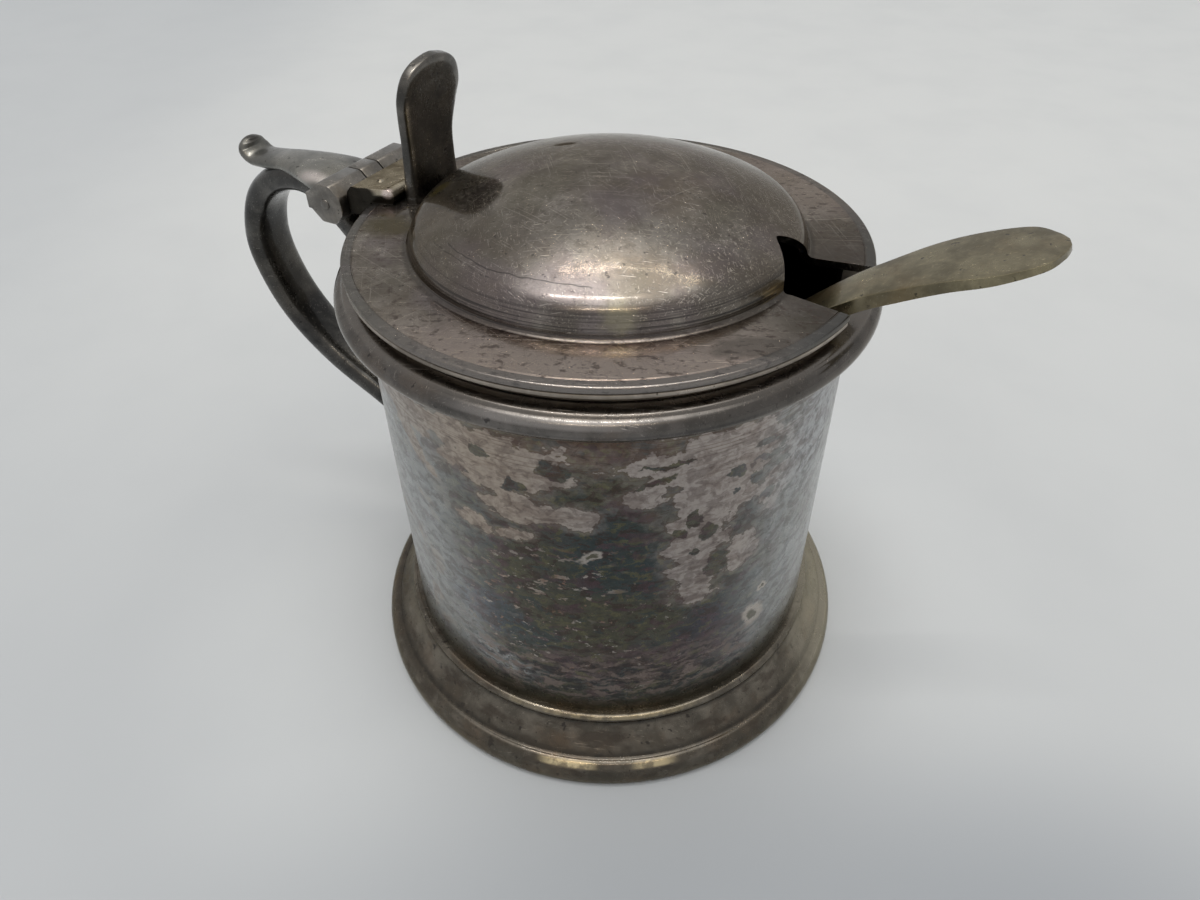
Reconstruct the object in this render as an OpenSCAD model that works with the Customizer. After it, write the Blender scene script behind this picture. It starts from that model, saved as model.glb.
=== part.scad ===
// Drum mustard pot in tarnished silver plate: a straight drum on a moulded foot, a domed lid with a
// spoon notch on a three-knuckle hinge, a scroll handle, a loose glass liner and a spoon.
// The pot stands on z = 0 and its axis is the Z axis. The hinge and handle lie along -X.

/* [Drum] */
// Outside radius of the drum
drum_r = 29; // [26:0.5:33]
// Wall thickness of the drum
drum_wall = 0.9; // [0.7:0.1:1.4]
// Height of the drum's upper edge above the table
drum_top = 59.4; // [54:0.1:68]
// Height of the base plate's upper side above the table
base_z = 5; // [4.6:0.1:6.5]
// Thickness of the base plate
base_t = 1; // [0.6:0.1:1.4]

/* [Foot] */
// Height of the moulded foot
foot_h = 8.8; // [8:0.2:12]
// How far the foot spreads beyond the drum
foot_spread = 5.5; // [4.5:0.25:8]
// Height of the bead at the bottom of the foot
foot_bead_h = 3.8; // [3:0.2:4.4]
// Radius of the small bead at the top of the foot
foot_ridge_r = 0.7; // [0.5:0.05:0.9]
// Height of the drum's lower edge, which sits on a ledge in the foot
drum_bottom = 3; // [2.6:0.1:3.4]

/* [Rim] */
// Height of the moulding under the rim
rim_h = 3; // [2.8:0.1:5]
// How far the rim moulding stands out from the drum
rim_out = 3; // [2.4:0.1:4]

/* [Lid] */
// Height of the lid flange's upper side above the drum's edge
lid_rise = 2.8; // [2.5:0.1:3.8]
// How far the lid flange reaches beyond the drum
lid_over = 1.5; // [1:0.1:1.9]
// Thickness of the lid's sheet
lid_sheet = 0.9; // [0.6:0.1:1.1]
// Radius of the dome at its foot
dome_r = 23.1; // [19:0.1:23.5]
// Height of the dome above the flange
dome_h = 8.5; // [8:0.25:12]
// Radius of the dome's crown
crown_r = 46; // [40:1:60]
// Radius of the dome's shoulder
shoulder_r = 4.4; // [3:0.1:5.4]
// Radius of the hollow at the dome's foot
dome_fillet = 0.6; // [0.4:0.1:1.1]
// Gap between the closed lid and the drum's edge
lid_gap = 0.1; // [0.05:0.05:0.3]
// Depth that the lid's bezel reaches into the drum
bezel_depth = 2; // [1.5:0.1:3]
// Wall of the lid's bezel
bezel_wall = 0.7; // [0.5:0.1:1]
// Room between the bezel and the drum
bezel_clear = 0.3; // [0.25:0.05:0.6]
// Thickness of the bezel's outer plate under the flange
bezel_plate = 0.5; // [0.4:0.05:0.7]

/* [Spoon notch] */
// Width of the notch at the flange's edge
notch_outer_w = 11.4; // [10.4:0.2:14]
// Width of the notch at the dome
notch_inner_w = 8.8; // [8:0.2:10]
// Height of the notch's arch above the flange
notch_rise = 3.9; // [3.2:0.1:5]

/* [Hinge] */
// Distance of the hinge axis from the drum
hinge_out = 7.5; // [7:0.25:10]
// Depth of the hinge axis under the flange's upper side
hinge_drop = 1.2; // [0.8:0.1:1.8]
// Width of the hinge over all its knuckles
hinge_w = 15.6; // [13:0.2:20]
// Width of the lid's knuckle in the middle of the hinge
lid_knuckle_w = 3.2; // [2.4:0.1:5]
// Size of the eight-sided knuckles across their flats
knuckle_af = 5.2; // [4.4:0.1:5.8]
// Gap between neighbouring knuckles
knuckle_gap = 0.15; // [0.1:0.05:0.3]
// Room between the turning knuckles and the plates beside them
hinge_clear = 0.3; // [0.25:0.05:0.5]
// Diameter of the hinge pin
pin_d = 1.4; // [1:0.1:2]
// Running clearance round the pin, on the radius
pin_clear = 0.05; // [0.02:0.01:0.09]
// Length of the pin's riveted end beyond the knuckles
pin_proud = 0.2; // [0.1:0.05:0.4]
// Width of the lid's hinge strap
strap_w = 14; // [12:0.5:16]
// Thickness of the hinge strap above the flange
strap_t = 1.5; // [1.2:0.1:2.2]
// Depth of the strap's turned-down end
strap_end_h = 3.6; // [3.2:0.1:4]

/* [Thumbpiece] */
// Height of the thumbpiece above the flange
thumb_h = 17; // [12:0.5:20]
// Width of the thumbpiece's stem
thumb_stem_w = 8.8; // [6:0.2:10]
// Width of the thumbpiece's lobe
thumb_lobe_w = 10.8; // [8:0.2:13]
// Thickness of the thumbpiece
thumb_t = 2.3; // [1.8:0.1:2.8]
// How far the thumbpiece leans in over the lid
thumb_lean = 2.2; // [0:0.2:3]

/* [Handle] */
// Reach of the handle's middle line beyond the drum
handle_reach = 29.3; // [25:0.1:36]
// Width of the handle's bow
handle_w = 7; // [4.5:0.25:8]
// Thickness of the handle's bow
handle_t = 4; // [2.6:0.1:4.4]
// Height at which the bow's lower end meets the drum
handle_low_z = 20; // [17:0.5:24]
// Height at which the bow's upper end meets the drum
handle_high_z = 49; // [44:0.5:50]
// Width of the leaf along the top of the handle
leaf_w = 5.8; // [5:0.2:8]
// Thickness of the leaf
leaf_t = 2.2; // [1.8:0.1:2.6]
// Width of the leaf where it meets the hinge
leaf_root_w = 10.4; // [8:0.2:13]
// Height of the leaf's turned-up tip
leaf_tip_h = 2.6; // [2:0.2:4]

/* [Liner] */
// Room between the liner and the drum
liner_clear = 0.7; // [0.4:0.1:1.5]
// Wall thickness of the liner
liner_wall = 2; // [1.5:0.1:2.6]
// Floor thickness of the liner
liner_floor = 3; // [2:0.2:4]
// Gap between the liner's rim and the bezel above it
liner_headroom = 2.6; // [2.4:0.1:5]
// Gap under the liner's foot
liner_seat = 0.05; // [0.02:0.01:0.2]

/* [Spoon] */
// Length of the spoon inside the rim, measured flat
spoon_in = 47; // [43:0.5:48]
// Length of the spoon outside the rim, measured flat
spoon_out = 18.6; // [14:0.2:26]
// Rise of the spoon's end above the rim
spoon_rise = 8.2; // [5:0.2:12]
// Width of the spoon's bowl
spoon_bowl_w = 14.5; // [11:0.5:16]
// Depth of the spoon's bowl
spoon_bowl_d = 3.6; // [2.5:0.2:4.4]
// Width of the spoon's stem where it passes the notch
spoon_stem_w = 5.1; // [3.4:0.1:5.6]
// Width of the spoon's handle near its end
spoon_end_w = 9.2; // [7:0.2:11]
// Thickness of the spoon's stem
spoon_t = 1.8; // [1.4:0.1:2.2]
// Gap between the spoon and what it rests on
spoon_seat = 0.25; // [0.2:0.05:0.5]
// Sideways place of the spoon in the notch
spoon_side = -1.5; // [-1.8:0.1:0]
// Turn of the spoon away from the line through the hinge
spoon_turn = 13; // [8:0.5:14]

/* [Hidden] */
$fn = 96;

// Small overlap that lets a cut run past a face
past = 1;
// Sides of a knuckle
knuckle_sides = 8;
// Points round each swept section and steps between two key sections
oval_sides = 20;
sweep_steps = 4;

// Radii and heights that follow from the sizes above
drum_in_r = drum_r - drum_wall;
foot_r = drum_r + foot_spread;
rim_low = drum_top - rim_h;
lid_top = drum_top + lid_rise;
lid_under = lid_top - lid_sheet;
lid_r = drum_r + lid_over;
bezel_r = drum_in_r - bezel_clear;
bezel_low = drum_top - bezel_depth;
hinge_r = drum_r + hinge_out;
hinge_z = lid_top - hinge_drop;
handle_knuckle_w = (hinge_w - lid_knuckle_w) / 2 - knuckle_gap;
knuckle_corner = knuckle_af / 2 / cos(180 / knuckle_sides);
plate_off = knuckle_corner + hinge_clear;
liner_r = drum_in_r - liner_clear;
liner_low = base_z + liner_seat;
liner_in_r = liner_r - liner_wall;
liner_floor_z = liner_low + liner_floor;
liner_top = bezel_low - liner_headroom;

// Colours of the finishes
silver = "#8e8880";
dark_silver = "#6f6b66";
nickel = "#8a8464";
cobalt = "#1f2f6e";

// Points on an arc about a centre, from angle a to angle b
function arc(cx, cz, r, a, b, n = 8, squash = 1) =
  [for (i = [0 : n]) let (t = a + (b - a) * i / n) [cx + r * cos(t), cz + squash * r * sin(t)]];

// A number raised to a power with its sign kept
function signed_pow(v, e) = sign(v) * pow(abs(v), e);

// A smooth line through the key sections, each a list of numbers
function spline_at(k, i, u) =
  let (a = k[max(i - 1, 0)], b = k[i], c = k[i + 1], d = k[min(i + 2, len(k) - 1)])
  0.5 * (2 * b + (c - a) * u + (2 * a - 5 * b + 4 * c - d) * u * u + (3 * b - a - 3 * c + d) * u * u * u);
function spline(k, steps = sweep_steps) = concat(
  [for (i = [0 : len(k) - 2], j = [0 : steps - 1]) spline_at(k, i, j / steps)], [k[len(k) - 1]]);

// A rounded section: an ellipse whose corners fill out as fullness grows past 2
function oval(w, t, fullness, n = oval_sides) = [for (j = [0 : n - 1]) let (a = 360 * j / n)
  [w / 2 * signed_pow(cos(a), 2 / fullness), t / 2 * signed_pow(sin(a), 2 / fullness)]];

// Unit direction of a line at one of its points
function heading(line, i) =
  let (a = line[max(i - 1, 0)], b = line[min(i + 1, len(line) - 1)], d = [b[0] - a[0], b[1] - a[1]])
  d / norm(d);

// Sections [x, z, width, thickness] set square to their line in the XZ plane
function oval_rings(line, fullness) = [for (i = [0 : len(line) - 1])
  let (p = line[i], d = heading(line, i))
  [for (q = oval(p[2], p[3], fullness)) [p[0] - d[1] * q[1], q[0], p[1] + d[0] * q[1]]]];

// A closed solid through rings of points
module loft(rings) {
  n = len(rings[0]);
  m = len(rings);
  walls = [for (i = [0 : m - 2], j = [0 : n - 1])
    let (a = i * n + j, b = i * n + (j + 1) % n, c = a + n, d = b + n)
    each [[a, c, d], [a, d, b]]];
  first = [for (j = [0 : n - 1]) j];
  last = [for (j = [n - 1 : -1 : 0]) (m - 1) * n + j];
  polyhedron([for (r = rings) each r], concat(walls, [first, last]));
}

// A ring between two radii and two heights
module ring(r_in, r_out, z_low, z_high) {
  rotate_extrude() translate([r_in, z_low]) square([r_out - r_in, z_high - z_low]);
}

// The straight drum
module drum_wall_shell() {
  color(silver) ring(drum_in_r, drum_r, drum_bottom, drum_top);
}

// The plate soldered into the drum above the foot
module base_plate() {
  color(dark_silver) translate([0, 0, base_z - base_t]) cylinder(r = drum_in_r, h = base_t);
}

// The foot: a small bead, a hollow slope and a heavy bead that stands on the table
module foot_ring() {
  bead_w = 1.6;
  bead_z = 1.5;
  bead_squash = (foot_bead_h - bead_z) / bead_w;
  bead_x = foot_r - bead_w;
  bead_end = -asin(bead_z / (foot_bead_h - bead_z));
  ridge_x = drum_r + foot_spread / 11;
  ridge_z = foot_h - foot_ridge_r;
  slope_top = [ridge_x + foot_ridge_r / 2, ridge_z - foot_ridge_r];
  slope_mid = [(slope_top[0] + bead_x) / 2 - 0.25, (slope_top[1] + foot_bead_h) / 2 - 0.15];
  foot_in_r = foot_r - 3.1;
  color(silver) rotate_extrude() polygon(concat(
    [[foot_in_r, 0]],
    arc(bead_x, bead_z, bead_w, bead_end, 90, 12, bead_squash),
    [[bead_x - 0.25, foot_bead_h + 0.15], slope_mid, slope_top],
    arc(ridge_x, ridge_z, foot_ridge_r, -60, 90),
    [[drum_r, foot_h], [drum_r, drum_bottom], [drum_in_r, drum_bottom]],
    [[drum_in_r, drum_bottom - 1], [drum_r + 0.6, drum_bottom - 1.4]]));
}

// The half-round moulding under the rim, with a groove above the round
module rim_moulding() {
  round_r = rim_h * 0.45;
  round_x = drum_r + rim_out - round_r;
  round_z = rim_low + round_r;
  ledge_x = round_x + round_r * 0.25;
  color(silver) rotate_extrude() polygon(concat(
    [[drum_r, rim_low], [round_x - 0.1, rim_low]],
    arc(round_x, round_z, round_r, -85, 65, 14),
    [[ledge_x, drum_top - 0.35], [ledge_x - 0.1, drum_top - 0.15], [ledge_x - 0.3, drum_top]],
    [[drum_r, drum_top]]));
}

// Half of the lid's section on one side of its sheet, from the crown to the flange's edge
function lid_line(inset) =
  let (
    crown_z = lid_top + dome_h - crown_r,
    shoulder_x = dome_r - shoulder_r,
    reach = crown_r - shoulder_r,
    shoulder_z = crown_z + sqrt(reach * reach - shoulder_x * shoulder_x),
    turn = asin(shoulder_x / reach),
    joined = shoulder_r + dome_fillet,
    meet = asin(max(0, lid_top + dome_fillet - shoulder_z) / joined)
  )
  concat(
    arc(0, crown_z, crown_r - inset, 90, 90 - turn, 14),
    arc(shoulder_x, shoulder_z, shoulder_r - inset, 90 - turn, meet),
    arc(shoulder_x + joined * cos(meet), lid_top + dome_fillet, dome_fillet + inset, 180 + meet, 270),
    [[lid_r, lid_top - inset]]
  );

function flip(line) = [for (i = [len(line) - 1 : -1 : 0]) line[i]];

// The spoon notch: a flared slot through the flange and an arch into the dome
module notch() {
  slot_in = dome_r - shoulder_r * 0.72;
  arch_r = notch_inner_w / 2;
  slot_low = bezel_low - past;
  translate([0, 0, slot_low]) linear_extrude(lid_top + dome_fillet - slot_low) polygon([
    [slot_in, -arch_r], [dome_r + dome_fillet, -arch_r], [lid_r + past, -notch_outer_w / 2],
    [lid_r + past, notch_outer_w / 2], [dome_r + dome_fillet, arch_r], [slot_in, arch_r]]);
  intersection() {
    translate([slot_in, 0, lid_top + notch_rise - arch_r]) rotate([0, 90, 0])
      cylinder(r = arch_r, h = lid_r - slot_in);
    translate([slot_in - past, -arch_r, lid_top]) cube([lid_r, notch_inner_w, notch_rise + past]);
  }
}

// The lid's one sheet of metal: dome, hollow and flange
module lid_cover() {
  color(silver) difference() {
    rotate_extrude() polygon(concat(lid_line(0), flip(lid_line(lid_sheet))));
    notch();
  }
}

// The ring under the lid: a thin plate behind the flange's edge, a seat and a lip inside the drum
module lid_bezel() {
  bezel_in_r = bezel_r - bezel_wall;
  color(dark_silver) difference() {
    rotate_extrude() polygon([
      [bezel_in_r, bezel_low], [bezel_r, bezel_low], [bezel_r, drum_top + lid_gap],
      [drum_r, drum_top + lid_gap], [drum_r, lid_under - bezel_plate],
      [lid_r - 0.1, lid_under - bezel_plate], [lid_r - 0.1, lid_under], [bezel_in_r, lid_under]]);
    notch();
  }
}

// One eight-sided knuckle from y_low with the web that joins it to its plate,
// on the lid's side (1) or the handle's side (-1) of the hinge
module knuckle(y_low, len_y, side, bore_d) {
  web_h = knuckle_af * 0.4;
  color(dark_silver) translate([-hinge_r, y_low + len_y, hinge_z]) rotate([90, 0, 0]) difference() {
    union() {
      linear_extrude(len_y) rotate(180 / knuckle_sides) circle(r = knuckle_corner, $fn = knuckle_sides);
      translate([side > 0 ? 0 : -plate_off, -web_h / 2, 0]) cube([plate_off, web_h, len_y]);
    }
    translate([0, 0, -past]) cylinder(d = bore_d, h = len_y + 2 * past);
  }
}

module handle_knuckle_near() {
  knuckle(-hinge_w / 2, handle_knuckle_w, -1, pin_d);
}

module handle_knuckle_far() {
  knuckle(hinge_w / 2 - handle_knuckle_w, handle_knuckle_w, -1, pin_d);
}

module lid_knuckle() {
  knuckle(-lid_knuckle_w / 2, lid_knuckle_w, 1, pin_d + 2 * pin_clear);
}

// The pin through all the knuckles, tight in the handle's and free in the lid's
module hinge_pin() {
  pin_l = hinge_w + 2 * pin_proud;
  color(dark_silver) translate([-hinge_r, pin_l / 2, hinge_z]) rotate([90, 0, 0]) cylinder(d = pin_d, h = pin_l);
}

// Back of the thumbpiece, where the strap ends
thumb_x = dome_r + dome_fillet + thumb_t / 2 + 0.35;
strap_in = thumb_x + thumb_t * 0.6;

// The lid's hinge plate: it lies on the flange and turns down beyond it to meet the knuckles
module hinge_strap() {
  strap_out = hinge_r - plate_off;
  top = lid_top + strap_t;
  taper = strap_w * 0.08;
  roll_r = strap_t * 0.65;
  roll_w = strap_w - 2 * taper;
  dimple_d = 1.1;
  color(dark_silver) difference() {
    union() {
      translate([-strap_in - roll_r, roll_w / 2, top - roll_r * 0.7]) rotate([90, 0, 0])
        cylinder(r = roll_r, h = roll_w);
      intersection() {
        translate([0, strap_w / 2, 0]) rotate([90, 0, 0]) linear_extrude(strap_w) polygon([
          [-strap_out, top - strap_end_h], [-strap_out, top - 0.7], [-strap_out + 0.7, top],
          [-strap_in - roll_r, top], [-strap_in - roll_r, top - strap_end_h]]);
        linear_extrude(top) polygon([
          [-strap_out, -strap_w / 2], [-lid_r, -strap_w / 2], [-strap_in, -strap_w / 2 + taper],
          [-strap_in, strap_w / 2 - taper], [-lid_r, strap_w / 2], [-strap_out, strap_w / 2]]);
      }
    }
    cylinder(r = lid_r, h = lid_top);
    translate([-lid_r, -strap_w / 4, top]) sphere(d = dimple_d, $fn = 24);
  }
}

// The upright thumbpiece: a paddle with a waisted stem and a round lobe
module thumbpiece() {
  keys = [
    [0, 0, 1.06, 1.15], [0, 0.03, 1.05, 1.13], [0, 0.06, 1.03, 1.1], [0.05, 0.22, 1, 1],
    [0.15, 0.42, 1, 0.95], [0.4, 0.62, 1.12, 0.97], [0.65, 0.76, 1.2, 0.95], [0.84, 0.89, 1.05, 0.85],
    [0.95, 0.965, 0.7, 0.7], [1, 1, 0.22, 0.45]];
  lobe_gain = thumb_lobe_w / thumb_stem_w / 1.2;
  line = [for (k = keys) [
    -thumb_x + thumb_lean * k[0], lid_top + thumb_h * k[1],
    thumb_stem_w * k[2] * (1 + (lobe_gain - 1) * k[0]), thumb_t * k[3]]];
  color(dark_silver) loft(oval_rings(spline(line), 4));
}

// The bow of the handle and the leaf that lies along its top
module handle() {
  bow_top = hinge_z - 1;
  fall = bow_top - handle_low_z;
  stand = bow_top - handle_high_z;
  bow = [
    [-0.03, handle_high_z - stand * 0.02, 1.5, 1.15], [0.1, handle_high_z + stand * 0.1, 1.3, 1.05],
    [0.24, bow_top - stand * 0.62, 1.15, 1], [0.4, bow_top - stand * 0.25, 1, 1],
    [0.56, bow_top, 0.92, 1], [0.76, bow_top - fall * 0.02, 0.92, 1],
    [0.92, bow_top - fall * 0.115, 0.95, 1], [1, bow_top - fall * 0.28, 1, 1],
    [0.965, bow_top - fall * 0.44, 1, 1], [0.85, bow_top - fall * 0.595, 1, 1],
    [0.635, bow_top - fall * 0.745, 0.96, 0.97], [0.35, bow_top - fall * 0.87, 0.9, 0.93],
    [0.12, bow_top - fall * 0.975, 0.92, 0.95], [-0.03, handle_low_z - fall * 0.01, 1.05, 1.1]];
  leaf_in = hinge_r + plate_off;
  leaf_run = drum_r + handle_reach - leaf_in;
  leaf = [
    [-0.08, -0.3, leaf_root_w, 1.4], [0, -0.25, leaf_root_w, 1.4], [0.1, 0.1, leaf_root_w * 0.95, 1.45],
    [0.27, 0.5, leaf_root_w * 0.77, 1.3], [0.48, 0.7, leaf_w, 1.05], [0.7, 0.35, leaf_w * 0.92, 0.92],
    [0.83, 0.35, leaf_w * 0.88, 0.88], [0.9, leaf_tip_h * 0.5, leaf_w * 0.84, 0.9],
    [0.905, leaf_tip_h * 0.9, leaf_w * 0.62, 0.78], [0.9, leaf_tip_h * 1.07, leaf_w * 0.25, 0.4]];
  color(dark_silver) union() {
    difference() {
      loft(oval_rings(spline([for (k = bow)
        [-drum_r - handle_reach * k[0], k[1], handle_w * k[2], handle_t * k[3]]]), 2.6));
      cylinder(r = drum_r, h = hinge_z);
    }
    intersection() {
      loft(oval_rings(spline([for (k = leaf)
        [-leaf_in - leaf_run * k[0], hinge_z + k[1], k[2], leaf_t * k[3]]]), 2.3));
      translate([-leaf_in - 2 * leaf_run, -leaf_root_w, 0])
        cube([2 * leaf_run, 2 * leaf_root_w, hinge_z + 2 * leaf_tip_h]);
    }
  }
}

// The loose glass liner: a plain tumbler with a rounded foot and rim
module glass_liner() {
  corner = 2;
  lip = liner_wall / 2;
  color(cobalt, 0.6) rotate_extrude() polygon(concat(
    [[0, liner_low]],
    arc(liner_r - corner, liner_low + corner, corner, -90, 0),
    arc(liner_r - lip, liner_top - lip, lip, 0, 180, 12),
    arc(liner_in_r - corner, liner_floor_z + corner, corner, 0, -90),
    [[0, liner_floor_z]]));
}

// Half of the spoon's thickness at its edges and the extra at its middle line, as shares
spoon_edge = 0.42;
spoon_crown = 0.5 - spoon_edge;

// A section of the spoon: a crowned bar that becomes a dished bowl where the dish is deep
function spoon_ring(w, t, dish, n = 10) =
  let (
    top = [for (j = [0 : n]) let (u = -1 + 2 * j / n, hump = 1 - u * u)
      [u * w / 2, t * (spoon_edge + spoon_crown * sqrt(hump)) - dish * hump]],
    low = [for (j = [n - 1 : -1 : 1]) let (u = -1 + 2 * j / n, hump = 1 - u * u)
      [u * w / 2, -t * (spoon_edge + spoon_crown * sqrt(hump)) - dish * hump]]
  )
  concat(top, [[w / 2, -t * spoon_edge]], low, [[-w / 2, -t * spoon_edge]]);

// The spoon: its stem leans on the drum's edge in the notch and its bowl rests on the liner's floor
module spoon() {
  rest_z = drum_top + spoon_seat + spoon_t * 0.65 + drum_wall * 1.45;
  floor_z = liner_floor_z + spoon_seat;
  depth = rest_z - floor_z;
  inner = [
    [-1, 0.014, 0.1, 0.6, 0], [-0.985, 0.03, 0.42, 0.6, 0.15], [-0.94, 0.078, 0.8, 0.6, 0.7],
    [-0.872, 0.152, 1, 0.6, 1], [-0.79, 0.25, 0.9, 0.65, 0.8], [-0.72, 0.335, 0.5, 0.85, 0.25],
    [-0.66, 0.405, 0.27, 1, 0.03], [-0.55, 0.525, 0.25, 1, 0], [-0.3, 0.776, 0.255, 1, 0],
    [-0.128, 0.915, 0.245, 1, 0]];
  outer = [
    [0, 0, 1, 1], [0.215, 0.279, 1.27, 0.95], [0.43, 0.528, 1.6, 0.8], [0.645, 0.715, 1.81, 0.66],
    [0.86, 0.902, 1.56, 0.5], [0.96, 0.97, 0.85, 0.44], [1, 1, 0.25, 0.4]];
  end_gain = spoon_end_w / spoon_stem_w / outer[3][2];
  keys = concat(
    [for (k = inner) [spoon_in * k[0], floor_z + depth * k[1], spoon_bowl_w * k[2], spoon_t * k[3],
      spoon_bowl_d * k[4]]],
    [for (k = outer) [spoon_out * k[0], rest_z + spoon_rise * k[1],
      spoon_stem_w * k[2] * (1 + (end_gain - 1) * k[0]), spoon_t * k[3], 0]]);
  line = spline(keys, 3);
  rings = [for (i = [0 : len(line) - 1]) let (p = line[i], d = heading(line, i))
    [for (q = spoon_ring(p[2], p[3], max(p[4], 0))) [p[0] - d[1] * q[1], -q[0], p[1] + d[0] * q[1]]]];
  color(nickel) translate([drum_r, spoon_side, 0]) rotate(spoon_turn) loft(rings);
}

drum_wall_shell();
base_plate();
foot_ring();
rim_moulding();
handle();
handle_knuckle_near();
handle_knuckle_far();
hinge_pin();
lid_cover();
lid_bezel();
hinge_strap();
lid_knuckle();
thumbpiece();
glass_liner();
spoon();
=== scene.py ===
import math
import bmesh
import bpy
import numpy as np
from mathutils import Matrix


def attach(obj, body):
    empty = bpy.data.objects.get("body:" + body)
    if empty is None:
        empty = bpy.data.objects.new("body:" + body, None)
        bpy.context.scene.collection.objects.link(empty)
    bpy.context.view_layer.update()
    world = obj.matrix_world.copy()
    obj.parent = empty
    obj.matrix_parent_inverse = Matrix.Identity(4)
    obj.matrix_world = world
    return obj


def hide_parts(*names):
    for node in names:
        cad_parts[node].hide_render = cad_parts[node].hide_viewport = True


# Tarnished silver mustard pot: drum, foot, rim, scroll handle, hinged lid with a spoon notch, glass liner and spoon
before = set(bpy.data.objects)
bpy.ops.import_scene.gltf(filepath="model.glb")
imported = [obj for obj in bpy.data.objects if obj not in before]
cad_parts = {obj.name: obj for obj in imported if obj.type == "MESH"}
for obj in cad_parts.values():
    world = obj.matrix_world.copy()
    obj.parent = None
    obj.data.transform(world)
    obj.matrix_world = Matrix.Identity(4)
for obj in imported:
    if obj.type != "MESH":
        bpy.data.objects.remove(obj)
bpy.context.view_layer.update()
scene = bpy.context.scene
mm = 0.001

# sizes in millimetres that several pieces share
pot = {"drumRadius": 29.0, "drumWall": 0.9, "drumTop": 59.4, "drumBottom": 3.0, "lidTop": 62.2, "lidRadius": 30.5,
       "lidSheet": 0.9, "hingeX": -36.5, "hingeZ": 61.0, "plateGap": 3.114, "turnSteps": 240}
viewAngle = 27.5  # the camera stands this far round from -Y towards +X, in degrees
coatRough = 0.07  # roughness of the clear film over the metal
viewTurn = math.radians(viewAngle)
faceDir = np.array((math.sin(viewTurn), -math.cos(viewTurn), 0.0))
rightDir = np.array((math.cos(viewTurn), math.sin(viewTurn), 0.0))
upDir = np.array((0.0, 0.0, 1.0))


def arcPoints(cx, cz, radius, start, end, count=12, squash=1.0):
    # points on an arc about a centre between two angles in degrees, its height times squash
    t = np.radians(np.linspace(start, end, count))
    return np.stack([cx + radius * np.cos(t), cz + squash * radius * np.sin(t)], -1)


def smoothLine(keys, steps):
    # a line through the keys: on each stretch a cubic whose slope at a key is half the step between its neighbours
    k = np.asarray(keys, float)
    a, b = np.vstack([k[:1], k[:-2]])[:, None], k[:-1, None]
    c, d = k[1:, None], np.vstack([k[2:], k[-1:]])[:, None]
    u = (np.arange(steps) / steps)[None, :, None]
    line = 0.5 * (2 * b + (c - a) * u + (2 * a - 5 * b + 4 * c - d) * u**2 + (3 * b - a - 3 * c + d) * u**3)
    return np.vstack([line.reshape(-1, k.shape[1]), k[-1:]])


def softCorners(corners, bend, count=5):
    # a closed outline with eased corners: each corner turns into the curve (1-t)^2 start + 2t(1-t) corner + t^2 end,
    # where start and end lie the bend's length along its two sides
    p = np.asarray(corners, float)
    back, on = np.roll(p, 1, -2) - p, np.roll(p, -1, -2) - p
    backLen = np.linalg.norm(back, axis=-1, keepdims=True) + 1e-9
    onLen = np.linalg.norm(on, axis=-1, keepdims=True) + 1e-9
    cut = np.minimum(np.asarray(bend, float)[..., None], 0.48 * np.minimum(backLen, onLen))
    start, end = p + back / backLen * cut, p + on / onLen * cut
    t = np.linspace(0, 1, count)[:, None]
    curve = (1 - t) ** 2 * start[..., None, :] + 2 * t * (1 - t) * p[..., None, :] + t**2 * end[..., None, :]
    return curve.reshape(*p.shape[:-2], -1, 2)


def spun(profile, steps=None):
    # every profile point (r, z) goes round the Z axis: x = r cos a, y = r sin a
    a = np.linspace(0, 2 * np.pi, steps or pot["turnSteps"], endpoint=False)
    r, z = np.asarray(profile)[:, 0, None], np.asarray(profile)[:, 1, None]
    return np.stack([r * np.cos(a), r * np.sin(a), z + 0 * a], -1)


def ovalSweep(line, fullness, around, dish=None):
    # sections square to a line in the XZ plane: |across / half width|^n + |through / half thickness|^n = 1
    line = np.asarray(line)
    run = np.gradient(line[:, :2], axis=0)
    run /= np.linalg.norm(run, axis=1, keepdims=True)
    a = np.linspace(0, 2 * np.pi, around, endpoint=False)
    ease = lambda v: np.sign(v) * np.abs(v) ** (2 / fullness)
    across = line[:, 2, None] / 2 * ease(np.cos(a))
    through = line[:, 3, None] / 2 * ease(np.sin(a))
    if dish is not None:  # hollows the face that looks to +X
        through = np.where(through < 0, through + dish[:, None] * (1 - ease(np.cos(a)) ** 2), through)
    return np.stack([line[:, 0, None] - run[:, 1, None] * through, across,
                     line[:, 1, None] + run[:, 0, None] * through], -1)


def skin(name, grid, rowsClose=False, colsClose=True, capEnds=True, moreFaces=()):
    # quads over a grid of points in millimetres: closed directions wrap round and open ends get a cap
    rows, cols = grid.shape[:2]
    ids = np.arange(rows * cols).reshape(rows, cols)
    wide = np.vstack([ids, ids[:1]]) if rowsClose else ids
    wide = np.hstack([wide, wide[:, :1]]) if colsClose else wide
    quads = np.stack([wide[:-1, :-1], wide[1:, :-1], wide[1:, 1:], wide[:-1, 1:]], -1).reshape(-1, 4)
    faces = quads.tolist() + list(moreFaces)
    if capEnds:
        faces += [ids[0].tolist(), ids[-1].tolist()]
    mesh = bpy.data.meshes.new(name)
    mesh.from_pydata((grid.reshape(-1, 3) * mm).tolist(), [], faces)
    return mesh


closedRing = {"rowsClose": True, "capEnds": False}


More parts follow.
